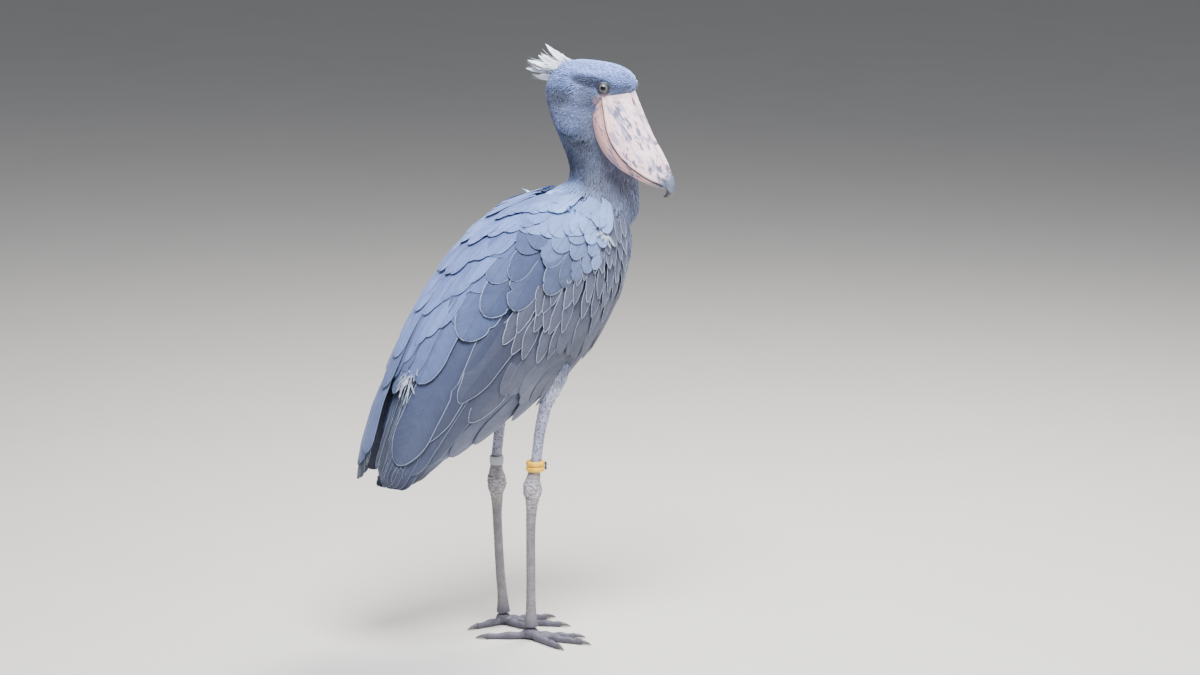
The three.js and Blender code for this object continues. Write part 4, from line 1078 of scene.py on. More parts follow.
def feather_piece(name, feathers, grid, seed, surface):
    """One mesh of many blades. Each feather tells its line, width, colouring and the paleness of its edge."""
    rows, columns = grid
    draw = np.random.default_rng(seed)
    pattern = blade_faces(rows, columns)
    cells = math.ceil(math.sqrt(len(feathers)))
    points, faces, base = [], [], 0
    kept = {"rim": [], "grain": [], "tint": [], "vary": [], "pale": [], "cell": [], "along": []}
    for i, feather in enumerate(feathers):
        shape = {k: v for k, v in feather.items() if k not in ("colour", "pale")}
        made, values = blade(rows=rows, columns=columns, draw=draw, **shape)
        count = len(made)
        faces.append(outward(made, pattern) + base)
        points.append(made)
        kept["rim"].append(values["rim"])
        kept["grain"].append(values["grain"])
        kept["tint"].append(feather["colour"](made, values["s"]))
        kept["along"].append(values["s"])
        kept["vary"].append(np.full(count, draw.uniform()))
        kept["pale"].append(np.full(count, feather["pale"]))
        corner = np.array([i % cells, i // cells])
        kept["cell"].append((corner + 0.06 + 0.88 * values["flat"]) / cells)
        base += count
    mesh = raw_mesh(name, np.concatenate(points), np.concatenate(faces))
    mesh.set_sharp_from_angle(angle=math.radians(70))
    cell = np.concatenate(kept.pop("cell"))
    for key, parts in kept.items():
        write(mesh, key, np.concatenate(parts))
    write(mesh, "OFBake", cell[corners_of(mesh)], "CORNER")
    return show(name, mesh, surface)


# Tracts of the folded wing from the deepest to the one on top: count, places of roots and of tips as lines of
# (share along the sheath, degrees from mid-back), half widths at both ends, height, pointedness and paleness.
TRACTS = [
    ("inner", 7, [(0.42, 5), (0.42, 32)], [(0.07, 4), (0.03, 30)], (6, 9), 1.2, 0.5, 0.5),
    ("low", 6, [(0.56, 98), (0.6, 120), (0.72, 146)], [(0.15, 102), (0.21, 128), (0.42, 152)], (25, 25),
     (0, 14), 0.2, 0.1),
    ("primary", 6, [(0.42, 38), (0.4, 66), (0.42, 104)], [(0.03, 40), (0.02, 58), (0.04, 80), (0.09, 112)],
     (17, 22), 1.0, 0.15, 0.25),
    ("secondary", 4, [(0.54, 118), (0.5, 96), (0.47, 70)], [(0.22, 120), (0.14, 102), (0.08, 74)], (25, 25),
     2.0, 0.15, 0.4),
    ("flank", 6, [(0.8, 150), (0.76, 130), (0.72, 112)], [(0.58, 156), (0.55, 136), (0.53, 118)], (20, 22),
     (9, 3), 0.3, 0.12),
    ("flank", 7, [(0.7, 156), (0.68, 130), (0.62, 100)], [(0.45, 150), (0.4, 128), (0.37, 106)], (23, 25),
     (13, 3), 0.3, 0.2),
    ("tertial", 3, [(0.54, 98), (0.56, 78), (0.5, 66)], [(0.275, 102), (0.305, 80), (0.175, 70)], (29, 28),
     3.0, 0.45, 0.75),
    ("tertial", 1, [(0.5, 49)], [(0.1, 53)], (37, 37), 6.2, 0.3, 0.6),
    ("tertial", 3, [(0.62, 34), (0.6, 20), (0.6, 8)], [(0.288, 33), (0.27, 17), (0.24, 5)], (33, 17), 7.4,
     0.2, 0.5),
    ("fringe", 9, [(0.8, 134), (0.74, 124), (0.67, 117), (0.6, 105), (0.57, 94), (0.56, 84), (0.55, 73)],
     [(0.705, 143), (0.64, 134), (0.566, 128), (0.502, 116), (0.458, 106), (0.45, 93), (0.442, 81)],
     (11, 17), 3.8, 0.55, 1.0),
    ("fringe", 10, [(0.82, 127), (0.76, 117), (0.71, 106), (0.65, 92), (0.62, 86), (0.6, 74)],
     [(0.74, 136), (0.666, 128), (0.612, 118), (0.552, 103), (0.516, 96), (0.49, 84)], (10, 15), 4.4, 0.55,
     1.0),
    ("fringe", 10, [(0.85, 120), (0.79, 108), (0.73, 94), (0.68, 82), (0.64, 74)],
     [(0.77, 130), (0.7, 120), (0.64, 106), (0.585, 92), (0.545, 84)], (9, 13.5), 5.0, 0.55, 1.0),
    ("fringe", 10, [(0.88, 114), (0.82, 100), (0.76, 88), (0.71, 78)],
     [(0.81, 124), (0.74, 112), (0.68, 98), (0.62, 86)], (8, 12), 5.4, 0.55, 0.9),
    ("fringe", 9, [(0.91, 108), (0.85, 96), (0.81, 88), (0.77, 82)],
     [(0.85, 116), (0.78, 106), (0.73, 96), (0.69, 89)], (8, 10), 5.2, 0.5, 0.7),
    ("covert", 2, [(0.63, 35), (0.64, 22)], [(0.42, 36), (0.43, 22)], (32, 24), 6.4, 0.15, 0.5),
    ("covert", 4, [(0.76, 74), (0.7, 60), (0.66, 50), (0.6, 44)],
     [(0.588, 81), (0.52, 67), (0.47, 56), (0.4, 51)], (25, 37), 6.8, 0.17, 0.95),
    ("covert", 4, [(0.86, 94), (0.8, 80)], [(0.725, 99), (0.63, 86)], (12, 20), 6.8, 0.15, 0.3),
    ("covert", 6, [(0.86, 88), (0.8, 68), (0.72, 50), (0.66, 36)],
     [(0.74, 92), (0.686, 77), (0.6, 60), (0.54, 47), (0.5, 33)], (14, 29), 7.4, 0.15, 0.5),
    ("covert", 8, [(0.88, 90), (0.84, 70), (0.78, 52), (0.74, 36)],
     [(0.79, 94), (0.72, 72), (0.655, 56), (0.6, 36)], (17, 30), 7.8, 0.15, 0.12),
    ("covert", 9, [(0.91, 88), (0.88, 68), (0.84, 50), (0.82, 36)],
     [(0.84, 94), (0.78, 72), (0.72, 54), (0.67, 36)], (17, 27), 7.8, 0.15, 0.05),
    ("scapular", 4, [(0.66, 25), (0.6, 16), (0.56, 6)], [(0.4, 26), (0.36, 16), (0.32, 6)], (20, 19), 8.2,
     0.2, 0.4),
    ("scapular", 5, [(0.72, 27), (0.64, 17), (0.58, 6)], [(0.5, 29), (0.45, 17), (0.41, 6)], (19, 19), 8.6,
     0.2, 0.4),
    ("scapular", 6, [(0.79, 32), (0.73, 20), (0.66, 6)], [(0.6, 33), (0.55, 19), (0.5, 6)], (16, 17), 8.8,
     0.2, 0.35),
    ("scapular", 7, [(0.85, 36), (0.79, 22), (0.74, 6)], [(0.71, 37), (0.65, 21), (0.59, 6)], (14, 16), 8.8,
     0.2, 0.25),
    ("scapular", 8, [(0.89, 42), (0.86, 26), (0.82, 7)], [(0.78, 43), (0.74, 25), (0.69, 7)], (13, 14), 8.6,
     0.25, 0.15),
]
# The left wing's tip hangs over the tail, so that it shows from the other side.
LEFT_TRACTS = [
    ("primary", 3, [(0.36, 50), (0.36, 40), (0.36, 28)], [(0.0, 50), (0.005, 38), (0.01, 26)], (20, 16),
     3.0, 0.12, 0.5),
    ("tertial", 3, [(0.5, 38), (0.46, 24), (0.44, 10)], [(0.045, 40), (0.07, 23), (0.09, 8)], (27, 17), 6.5,
     0.15, 0.7),
]

# The right wing's innermost feathers reach over mid-back, above the cleft between the wings.
RIGHT_TRACTS = [
    ("tertial", 3, [(0.6, 8), (0.56, -3), (0.52, -14)], [(0.29, 8), (0.265, -3), (0.31, -14)], (17, 16),
     (9, 12), 0.2, 0.4),
]

# Which edge of a feather stands higher, by kind: more than 0 for the edge nearer to mid-back.
TILTS = {"primary": -0.06, "secondary": -0.07, "tertial": -0.06, "low": -0.03, "flank": -0.03,
         "scapular": -0.1, "inner": 0.0, "fringe": 0.1, "covert": 0.075}
# How far the left wing hangs clear of the sheath, in millimetres, by the place along it.
LOOSE = ((-0.05, 0.0, 0.1, 0.2, 0.3, 0.4, 0.55), (2, 9, 17, 18, 10, 4, 0))

# Torn and downy spots on the right wing: count, place, spread, reach along the wing, height and half widths.
FRAYED = [
    (34, (0.3, 16), (0.012, 3.0), (-0.075, -0.01), 11.0, (0.7, 1.7)),
    (18, (0.83, 92), (0.006, 2.4), (-0.036, -0.014), 9.6, (1.4, 2.8)),
]


def along_line(line, f):
    """The place a share of the way along a line of places."""
    line = np.asarray(line, float)
    at = np.arange(len(line)) / max(len(line) - 1, 1)
    return np.array([np.interp(f, at, line[:, 0]), np.interp(f, at, line[:, 1])])


def on_sheath(sign, root, tip, rise, sway, power):
    """The line of one feather over the sheath, from its root under the coat to its tip."""
    def at(s):
        t = root[0] + (tip[0] - root[0]) * s
        angle = root[1] + (tip[1] - root[1]) * s + sway * np.sin(np.pi * s)
        loose = np.interp(t, *LOOSE) if sign > 0 else 0
        base = -4 - 14 * ramp(root[0], 0.76, 0.92)
        return around(SHEATH, t, angle, sign, base + (rise - base) * s**power + loose)

    return at


def wing_feathers(side, look, seed):
    sign = SIDES[side]
    draw = np.random.default_rng(seed)
    feathers = []
    tracts = TRACTS + (LEFT_TRACTS if side == "left" else RIGHT_TRACTS)
    for kind, count, roots, tips, half, rise, pointed, pale in tracts:
        ventral = roots[-1][1] > roots[0][1]
        for i in range(count):
            f = i / max(count - 1, 1)
            root, tip = along_line(roots, f), along_line(tips, f)
            small = kind == "covert" and pale < 0.3
            loose = 2.0 if small else 1.0
            tip = tip + draw.normal(0, 1, 2) * (0.006, 1.0) * loose
            root = root + draw.normal(0, 1, 2) * (0.005, 0.8) * loose
            high = np.interp(f, (0, 1), np.broadcast_to(rise, 2))
            high += 1.3 * (f if ventral == (kind in ("covert", "fringe")) else 1 - f)

            def colour(points, s, kind=kind, shade=draw.uniform(0.86, 1.1), spot=(root + tip) / 2):
                own = {"primary": look.primary, "secondary": look.secondary, "tertial": look.secondary,
                       "fringe": look.fringe, "covert": look.covert, "scapular": look.back,
                       "low": look.undertail, "flank": look.flank, "inner": look.primary_tip}[kind]
                share = 0.85 * ramp(spot[0], 0.88, 0.72) if kind in ("covert", "scapular") else 0.85
                made = mix(plumage(points, look), own, share)
                if kind == "primary":
                    made = mix(made, look.primary_tip, 0.8 * ramp(s, 0.7, 1.0))
                if kind in ("covert", "tertial"):
                    made = mix(made, look.back, 0.5 * ramp(spot[1], 52, 22))
                    made = mix(made, look.shoulder_and_highlight, 0.7 * ramp(spot[0], 0.68, 0.86))
                return np.clip(made * shade, 0.003, 0.9)

            power = 1.4 if kind in ("low", "flank") else 0.6
            feathers.append({
                "at": on_sheath(sign, root, tip, high, draw.normal(0, 0.8), power),
                "pointed": pointed, "half": (half[0] + (half[1] - half[0]) * f) * draw.uniform(0.94, 1.08),
                "colour": colour, "turned": sign, "pale": pale * draw.uniform(0.75, 1.0),
                "tilt": TILTS[kind] * draw.uniform(0.7, 1.3) * (0.35 if small else 1),
            })

    def downy(points, s):
        return np.broadcast_to(look.down, points.shape)

    for count, place_of, spread, reach, high, girth in FRAYED if side == "right" else []:
        for _ in range(count):
            root = np.array(place_of) + draw.normal(0, 1, 2) * spread
            tip = root + (draw.uniform(*reach), draw.normal(2, 6))
            feathers.append({
                "at": on_sheath(sign, root, tip, high, 0.0, 0.5), "pointed": 0.95,
                "half": draw.uniform(*girth), "colour": downy, "turned": sign, "pale": 0.6,
                "tilt": 0.0, "curve": 0.0, "thick": 0.4,
            })
    return feathers


TAIL_ROOT = np.array([-168.0, 0, 436])
# Tail feathers and the coverts under and over them: count, start, end, grading, stacking, half width and
# pointedness.
TAIL_TRACTS = [
    (12, (0, 20, 4), (-119, 58, -123), 0.26, -1.9, 15, 0.2),
    (8, (10, 40, -36), (-40, 56, -92), 0.15, 1.9, 17, 0.3),
    (7, (24, 44, -30), (-14, 60, -78), 0.15, 1.9, 16, 0.3),
    (7, (6, 34, 12), (-52, 40, -44), 0.25, -1.4, 15, 0.25),
]


def tail_feathers(look, seed):
    draw = np.random.default_rng(seed)
    feathers = []
    for rank, (count, start, end, graded, stack, half, pointed) in enumerate(TAIL_TRACTS):
        for i in range(count):
            off = (i - (count - 1) / 2) / ((count - 1) / 2)
            step = stack * abs(i - (count - 1) / 2 + 0.25)
            root = TAIL_ROOT + (start[0], start[1] * off, start[2] + step)
            tip = TAIL_ROOT + (end[0], end[1] * off, end[2] + step)
            tip = tip + (root - tip) * graded * off * off * draw.uniform(0.9, 1.1)
            out = unit(np.array([-0.75, 0.5 * off, 0.66])) * (-1 if rank in (1, 2) else 1)

            def at(s, root=root, tip=tip, out=out):
                line = root + (tip - root) * s[:, None] + out * (3 * np.sin(np.pi * s))[:, None]
                return line, np.broadcast_to(out, line.shape)

            def colour(points, s, rank=rank, shade=draw.uniform(0.88, 1.1)):
                own = look.tail if rank == 0 else look.undertail if rank < 3 else look.rump
                made = mix(own, look.primary_tip, ramp(s, 0.6, 1.0) * (0.6 if rank == 0 else 0.0))
                return np.clip(made * shade, 0.003, 0.9)

            feathers.append({"at": at, "half": half * draw.uniform(0.94, 1.06), "pointed": pointed,
                             "colour": colour, "pale": 0.2, "tilt": 0.0, "curve": 1 / 160})
    return feathers


# Crest: loose whitish plumes, each a spray of fine tapered strands

PLUMES = [
    ((-40, 4, 48), (-124, 6, 54), 0.8), ((-40, -8, 52), (-112, -22, 68), -0.9),
    ((-38, 14, 50), (-104, 30, 60), 0.6), ((-30, 2, 56), (-88, 6, 94), -0.7),
    ((-32, -12, 54), (-80, -26, 80), 0.9), ((-28, 12, 56), (-74, 22, 80), -0.6),
    ((-44, -6, 40), (-104, -14, 36), 0.7), ((-20, 4, 60), (-52, 2, 80), 0.5),
    ((-46, 8, 34), (-92, 12, 22), 0.4),
]


def plume_lines():
    """Start, end, outward direction and length of each plume."""
    for root, tip, lean in PLUMES:
        start, end = of_head(*root), of_head(*tip)
        yield start, end, head_way(-0.2, lean, 0.6), np.linalg.norm(end - start)


def plume_blades(look, seed):
    """Flat pointed feathers that carry the crest's outline among its fine strands."""
    draw = np.random.default_rng(seed)
    feathers = []
    for start, end, out, reach in plume_lines():
        for _ in range(4):
            stray = draw.normal(0, 1, 3)
            first = start + stray * 2.5 - (end - start) * 0.12
            last = start + (end - start) * draw.uniform(0.7, 1.0) + draw.normal(0, 1, 3) * reach * 0.05

            def at(s, first=first, last=last, out=unit(out + stray * 0.4), reach=reach):
                line = first + (last - first) * s[:, None] - out * (reach * 0.36 * s * (1 - s))[:, None]
                return line, np.broadcast_to(out, line.shape)

            def colour(points, s, shade=draw.uniform(0.8, 1.1)):
                return np.clip(mix(look.crown, look.crest, ramp(s, 0.05, 0.4)) * shade, 0, 0.95)

            feathers.append({"at": at, "half": draw.uniform(3.6, 5.6), "pointed": 0.8, "colour": colour,
                             "pale": 0.3, "tilt": 0.0, "thick": 0.5, "ripple": 0.2})
    return feathers


def plume_strands(seed):
    """Middle lines and girths of every strand of the crest."""
    draw = np.random.default_rng(seed)
    strands = []
    s = np.linspace(0, 1, 7)[:, None]
    for start, end, out, reach in plume_lines():
        for _ in range(16):
            loose = draw.normal(0, 1, 3)
            first = start + draw.normal(0, 3.2, 3) + (end - start) * draw.uniform(-0.04, 0.3)
            last = start + (end - start) * draw.uniform(0.62, 1.0) + loose * reach * 0.07
            line = first + (last - first) * s - out * (reach * 0.34 * s * (1 - s))
            line = line + loose * reach * 0.03 * np.sin(s * math.pi * draw.uniform(1.0, 2.2))
            girth = draw.uniform(0.6, 1.0) * (1 - s[:, 0] ** 1.6 * 0.9)
            girth = girth * np.sin(np.pi * (0.18 + 0.8 * s[:, 0])) ** 0.4
            strands.append((line, np.maximum(girth, 0.08)))
    return strands


def tubes_piece(name, strands, columns, surface, tint, vary_seed):
    """Many thin tubes as one mesh, with the share along each and its own chance value."""
    draw = np.random.default_rng(vary_seed)
    forms, along, vary, places = [], [], [], []
    cells = math.ceil(math.sqrt(len(strands)))
    for i, (line, girth) in enumerate(strands):
        forms.append(tube(line, girth, columns, 0.55))
        count = len(line)
        share = np.concatenate([np.repeat(np.linspace(0, 1, count), columns), [0, 1]])
        side = np.concatenate([np.tile(np.linspace(0, 1, columns), count), [0, 0]])
        along.append(share)
        vary.append(np.full(len(share), draw.uniform()))
        places.append((np.array([i % cells, i // cells]) + 0.1 + 0.8 * np.stack([side, share], -1)) / cells)
    mesh = raw_mesh(name, *joined(forms))
    write(mesh, "along", np.concatenate(along))
    write(mesh, "across", 0 * np.concatenate(along))
    write(mesh, "vary", np.concatenate(vary))
    write(mesh, "tint", np.broadcast_to(tint, (len(mesh.vertices), 3)))
    write(mesh, "OFBake", np.concatenate(places)[corners_of(mesh)], "CORNER")
    return show(name, mesh, surface)


# Bill

# The ridge on the culmen, and the hooked nail: along, above, half width, half depth and turn in degrees.
RIDGE_HEIGHT, RIDGE_WIDTH = 2.6, 5.0
NAIL = [(160, 3, 17, 10, 0), (174, 0, 13.5, 9.5, 12), (184, -5, 9.5, 8, 40), (188, -13, 6, 5.5, 75),
        (188, -20, 3.4, 3, 95), (186.5, -26, 1.0, 0.8, 105)]


def bill_spot(points):
    """Along the bill, left and above its axis."""
    forward, left, up = head_spot(points)
    ahead, above = forward - BILL_ROOT[0], up - BILL_ROOT[1]
    cos, sin = math.cos(BILL_PITCH), math.sin(BILL_PITCH)
    return ahead * cos - above * sin, left, ahead * sin + above * cos


def bill_rows(s):
    """Culmen, mouth line, keel and half width at a place along the bill."""
    rows = np.linspace(0, 1, 400)
    table = between(BILL, rows)
    return [np.interp(s, table[:, 0], table[:, k]) for k in range(1, 5)]


def upper_bill_form():
    rings = []
    for s in np.linspace(-28, 177, 84):
        culmen, mouth, _, half = bill_rows(s)
        share = np.cos(np.linspace(0, math.pi, 47))
        left = half * share
        vault = np.maximum(1 - np.abs(share) ** 1.35, 0) ** 0.75
        ridge = RIDGE_HEIGHT * np.exp(-(left / RIDGE_WIDTH) ** 2)
        above = mouth + (culmen - mouth - RIDGE_HEIGHT) * vault + ridge
        flat = np.linspace(-0.97, 0.97, 24)
        left, above = np.concatenate([left, half * flat]), np.concatenate([above, 0 * flat + mouth])
        rings.append(of_bill(s, left, above))
    return loft(rings)


def nail_form():
    rows = between(np.array(NAIL, float), np.linspace(0, 1, 30))
    rings = []
    for s, above, half, deep, turn in rows:
        way = math.radians(turn)
        ring = full_turn(28)
        rise = deep * np.sin(ring) * np.where(np.sin(ring) > 0, 1.0, 0.72)
        left = half * np.sign(np.cos(ring)) * np.abs(np.cos(ring)) ** 0.9
        rings.append(of_bill(s + rise * math.sin(way), left, above + rise * math.cos(way)))
    return loft(rings)


def lower_bill_form():
    rings = []
    for s in np.linspace(-28, 174, 80):
        _, mouth, keel, half = bill_rows(s)
        ring = np.linspace(math.pi, 2 * math.pi, 41)
        left = (half - 1.2) * np.sign(np.cos(ring)) * np.abs(np.cos(ring)) ** 0.7
        rim = mouth - 0.3
        above = rim + (keel - rim) * np.abs(np.sin(ring)) ** 0.85
        flat = np.linspace(0.96, -0.96, 22)
        left, above = np.concatenate([left, (half - 1.2) * flat]), np.concatenate([above, 0 * flat + rim])
        rings.append(of_bill(s, left, above))
    return loft(rings)


def carve_bill(piece, upper):
    """Ridge grooves, nostril slits, a rolled rim, slight unevenness and the coordinates the horn follows."""
    mesh = piece.data
    points, normals = points_of(mesh), normals_of(mesh)
    s, left, above = bill_spot(points)
    mouth = bill_rows(np.clip(s, -28, 178))[1]
    push = 0.35 * waves(np.stack([s * 0.35, left, above], -1), 34, 41) + 0.14 * waves(points, 9, 42)
    # The shade attribute is painted shade: in the nostril slits, the grooves, the groove before the nail, the
    # mouth's gap and at the root under the feathers, with a mottled darker band along the upper bill's rim.
    shade = 0 * s
    if upper:
        top = ramp(above, mouth + 4, mouth + 12)
        groove = np.exp(-((np.abs(left) - 8.2 + 0.012 * s) / 1.7) ** 2) * ramp(s, 168, 150) * top
        push -= 1.5 * groove
        slit = np.exp(-((s - 17) / 7.5) ** 4 - ((np.abs(left) - 8.6) / 1.15) ** 2) * top
        push -= 3.4 * slit
        rim = ramp(above, mouth + 9, mouth + 2)
        roll = 0.8 * np.exp(-((above - mouth - 3.4) / 2.2) ** 2)
        push += roll - 0.5 * np.exp(-((above - mouth - 8.5) / 2.4) ** 2)
        plate = np.exp(-((s - 160 - 0.05 * left**2) / 1.6) ** 2) * top
        push -= 0.8 * plate
        gap = 0.9 * ramp(above, mouth + 2.6, mouth + 0.8)
        shade = np.clip(0.85 * slit + 0.35 * groove + 0.3 * plate + gap, 0, 1)
        flush = ramp(above - mouth, 34, 8) * ramp(s, 170, 120)
        shade = np.maximum(shade, 0.3 * rim * (0.5 + 0.5 * waves(points, 24, 44)))
    else:
        rim = np.exp(-((above - mouth + 3.5) / 1.8) ** 2)
        push += 0.5 * rim - 0.6 * np.exp(-((above - mouth + 8.5) / 2.2) ** 2)
        middle = np.exp(-(left / 1.2) ** 2) * ramp(above, mouth - 12, mouth - 18)
        push -= 0.7 * middle
        shade = np.clip(0.9 * ramp(above, mouth - 3.2, mouth - 1.4) + 0.3 * middle, 0, 1)
        flush = ramp(s, 150, 60)
    shade = np.maximum(shade, 0.35 * ramp(s, 9, -4) * (0.6 + 0.4 * waves(points, 12, 45)))
    move_points(mesh, points + normals * push[:, None])
    mesh.update()
    write(mesh, "horn", np.stack([s, left, above], -1))
    write(mesh, "shade", shade)
    write(mesh, "flush", flush)


# Eyes and lids

# Each fold of a lid: radius, girth, depth, how much heavier it is above, height to width and darkness.
LID_FOLDS = ((9.0, 1.35, 5.2, 1.25, 0.72, 0.95), (11.4, 1.7, 3.2, 1.05, 0.76, 0.6))


def gaze_of(sign):
    """The line of sight of the eye on one side."""
    return head_way(0.42, 0.9 * sign, 0.12)


def eye_piece(name, sign, surface):
    axes = directions(gaze_of(sign))
    polar = np.concatenate([np.linspace(0.006, 1.0, 44), np.linspace(1.05, math.pi - 0.02, 22)])
    bulge = 1 + 0.035 * ramp(polar, 0.95, 0.2)
    rings = eye_place(sign) + EYE["radius"] * (sphere(polar, full_turn(72)) * bulge[:, None, None]) @ axes
    piece = show(name, raw_mesh(name, *joined([loft(rings)])), surface)
    local = (points_of(piece.data) - eye_place(sign)) @ axes.T
    angle = np.degrees(np.arctan2(np.hypot(local[:, 0], local[:, 1]), local[:, 2]))
    flat = unit(local[:, :2] + 1e-6)
    write(piece.data, "gaze", np.concatenate([angle[:, None], flat], 1))
    return piece


def lid_form(sign, radius, girth, depth, heavy, opening):
    """A fold of skin round the eye, heavier above. The opening is its height as a share of its width."""
    across, upright, along = directions(gaze_of(sign))
    spin = full_turn(14)[:, None]
    rings = []
    for a in full_turn(72):
        thick = girth * (1 + heavy * max(math.sin(a), 0) + 0.05 * math.sin(a * 11))
        out = across * math.cos(a) + upright * math.sin(a) * opening
        back = along * (depth - 0.9 * abs(math.cos(a)) ** 3)
        middle = eye_place(sign) + out * radius + back
        rings.append(middle + thick * (np.cos(spin) * unit(out) + np.sin(spin) * along))
    rings = np.array(rings)
    return rings.reshape(-1, 3), closed_grid(*rings.shape[:2])


def lid_piece(name, sign, surface):
    points, faces, shade, base = [], [], [], 0
    for *sizes, dark in LID_FOLDS:
        ring, quads = lid_form(sign, *sizes)
        points.append(ring)
        faces.append(outward(ring, quads) + base)
        shade.append(np.full(len(ring), dark))
        base += len(ring)
    mesh = raw_mesh(name, np.concatenate(points), np.concatenate(faces))
    write(mesh, "shade", np.concatenate(shade))
    return show(name, mesh, surface)


# Legs, feet and claws

TOE_ROOT, TOE_TIP = 9.4, 6.2
CLAW_LENGTH, CLAW_ROOT = 20.0, 4.3


def heading_way(heading):
    a = math.radians(heading)
    return np.array([math.cos(a), math.sin(a), 0.0])


def foot_of(side):
    """The place on the floor under a leg's end."""
    return np.array([LEGS[side][-1, 0], SIDES[side] * LEG_SPREAD, 0.0])


def toe_lift(s, r):
    return r * 0.86 + 7 * np.maximum(0, 1 - 3.4 * s) ** 1.5


def leg_forms(side):
    sign, rows = SIDES[side], LEGS[side]
    t = np.linspace(BARE_FROM, 1, 60)
    line = between(rows, t)
    path = np.stack([line[:, 0], sign * LEG_SPREAD + 0 * t, line[:, 1]], -1)
    radii = line[:, 2] * np.where(path[:, 2] > 430, 0.9, 1.0)
    forms = [tube(path, radii, 28)]
    foot = foot_of(side)
    forms.append(ball(foot + (0, 0, 12), (14.6, 14.6, 11.4)))
    knob = between(rows, HEEL_AT)
    for turn in (-1, 1):
        forms.append(ball((knob[0] - 5, sign * LEG_SPREAD + turn * 6.5, knob[1] - 2), (9, 8, 13)))
    for heading, reach, joints in TOES[side].values():
        ahead = heading_way(heading)
        s = np.linspace(0, 1, 40)
        r = (TOE_ROOT + (TOE_TIP - TOE_ROOT) * s) * (0.92 + 0.08 * np.cos(2 * np.pi * s * (joints + 1)))
        path = foot + ahead * (reach * s)[:, None] + np.array([0, 0, 1.0]) * (toe_lift(s, r) * 1.02)[:, None]
        forms.append(tube(path, r * 0.985, 20, 0.94))
    return forms


def toe_run(points, side):
    """Millimetres along the nearest toe, for points of a foot."""
    foot = foot_of(side)
    best, nearest = np.full(len(points), 1e9), np.zeros(len(points))
    for heading, reach, _ in TOES[side].values():
        ahead = heading_way(heading)
        run = (points - foot) @ ahead
        off = np.linalg.norm(points[:, :2] - foot[:2] - np.clip(run, 0, reach)[:, None] * ahead[:2], axis=1)
        near = off < best
        best = np.where(near, off, best)
        nearest = np.where(near, run, nearest)
    return nearest


def leg_piece(side, look, surface):
    piece = remeshed("leg_skin_" + side, leg_forms(side), 1.25, 5, 0.5)
    mesh = piece.data
    mesh.materials.append(surface)
    points, normals = points_of(mesh), normals_of(mesh)
    z = points[:, 2]
    run = toe_run(points, side)
    toe = ramp(z, 34, 22) * ramp(run, 6, 14) * ramp(normals[:, 2], 0.0, 0.45)
    plate = run / 4.1
    groove = np.abs(np.sin(plate * math.pi)) ** 0.6
    heel = np.exp(-(((z - LEGS[side][7, 1] + 12) / 30) ** 2))
    tibia = ramp(z, 318, 345)
    push = 0.5 * toe * (groove - 0.8)
    folds = np.sin(z * 2 * math.pi / 6.4 + 2.4 * waves(points, 24, 51))
    push += heel * 0.9 * folds * ramp(waves(points, 26, 52), -0.6, 0.4)
    push += heel * 1.3 * waves(points, 15, 55, 2)
    push += 0.3 * waves(points, 7, 53) * (1 - toe)
    push *= ramp(z, 1.2, 4.0)
    made = points + normals * push[:, None]
    made[:, 2] = np.maximum(made[:, 2], 0)
    move_points(mesh, made)
    mesh.update()
    tint = mix(look.tarsus, look.tibia, tibia)
    tint = mix(tint, look.toe, ramp(z, 60, 20))
    tint = tint * (1 + 0.12 * waves(points, 24, 54))[:, None]
    write(mesh, "tint", np.clip(tint, 0.005, 0.9))
    write(mesh, "zone", np.stack([tibia, 0 * z + ramp(z, 60, 30) * 0.6, heel], -1))
    write(mesh, "toe", toe)
    write(mesh, "plate", plate)
    return piece


def claw_piece(name, side, toe, surface):
    heading, reach, _ = TOES[side][toe]
    ahead = heading_way(heading)
    foot = foot_of(side)
    s = np.linspace(-0.16, 1, 26)
    r = CLAW_ROOT * (1 - 0.88 * np.clip(s, 0, 1) ** 1.5) * np.where(s < 0, 0.8, 1.0)
    z = CLAW_ROOT + 1.6 - 2 * 2.2 * np.clip(s, 0, 1) ** 2
    path = foot + ahead * (reach + 0.3 + CLAW_LENGTH * s)[:, None] + np.array([0, 0, 1.0]) * z[:, None]
    piece = show(name, raw_mesh(name, *joined([tube(path, r, 22)])), surface)
    run = (points_of(piece.data) - foot) @ ahead
    write(piece.data, "along", np.clip((run - reach) / CLAW_LENGTH, 0, 1))
    return piece


# Bands: height over the floor, then height, outer and inner radius and number of rolls.
YELLOW_Z, YELLOW_SIZES = 330.0, (20, 17.4, 10.4, 2)
GREY_Z, GREY_SIZES = 320.0, (17, 13.2, 10.4, 1)
RING_STEPS = 96
# The catch: where it faces, how far it stands off, and offset and half sizes of its blocks.
CATCH_HEADING, CATCH_GAP = -20, 0.3
CATCH_BLOCKS = (((0, 0, 3.9), (1.8, 4.5, 3.4)), ((0, 0, -3.9), (1.8, 4.5, 3.4)),
                ((-0.3, 0, 0), (1.2, 3.6, 2.4)))


def ring_piece(name, side, z, profile, surface):
    """A closed ring round a leg from its profile of radii and heights."""
    turn = full_turn(RING_STEPS)[:, None]
    radius, height = np.array(profile, float).T
    x, y = leg_middle(side, z), SIDES[side] * LEG_SPREAD
    points = np.stack([x + radius * np.cos(turn), y + radius * np.sin(turn), z + height + 0 * turn], -1)
    points = points.reshape(-1, 3)
    faces = outward(points, closed_grid(RING_STEPS, len(profile))[:, [0, 3, 2, 1]])
    piece = show(name, raw_mesh(name, points, faces), surface)
    write(piece.data, "shade", np.tile(1 - ramp(radius, radius.min() + 1, radius.max() - 1.4), RING_STEPS))
    return piece


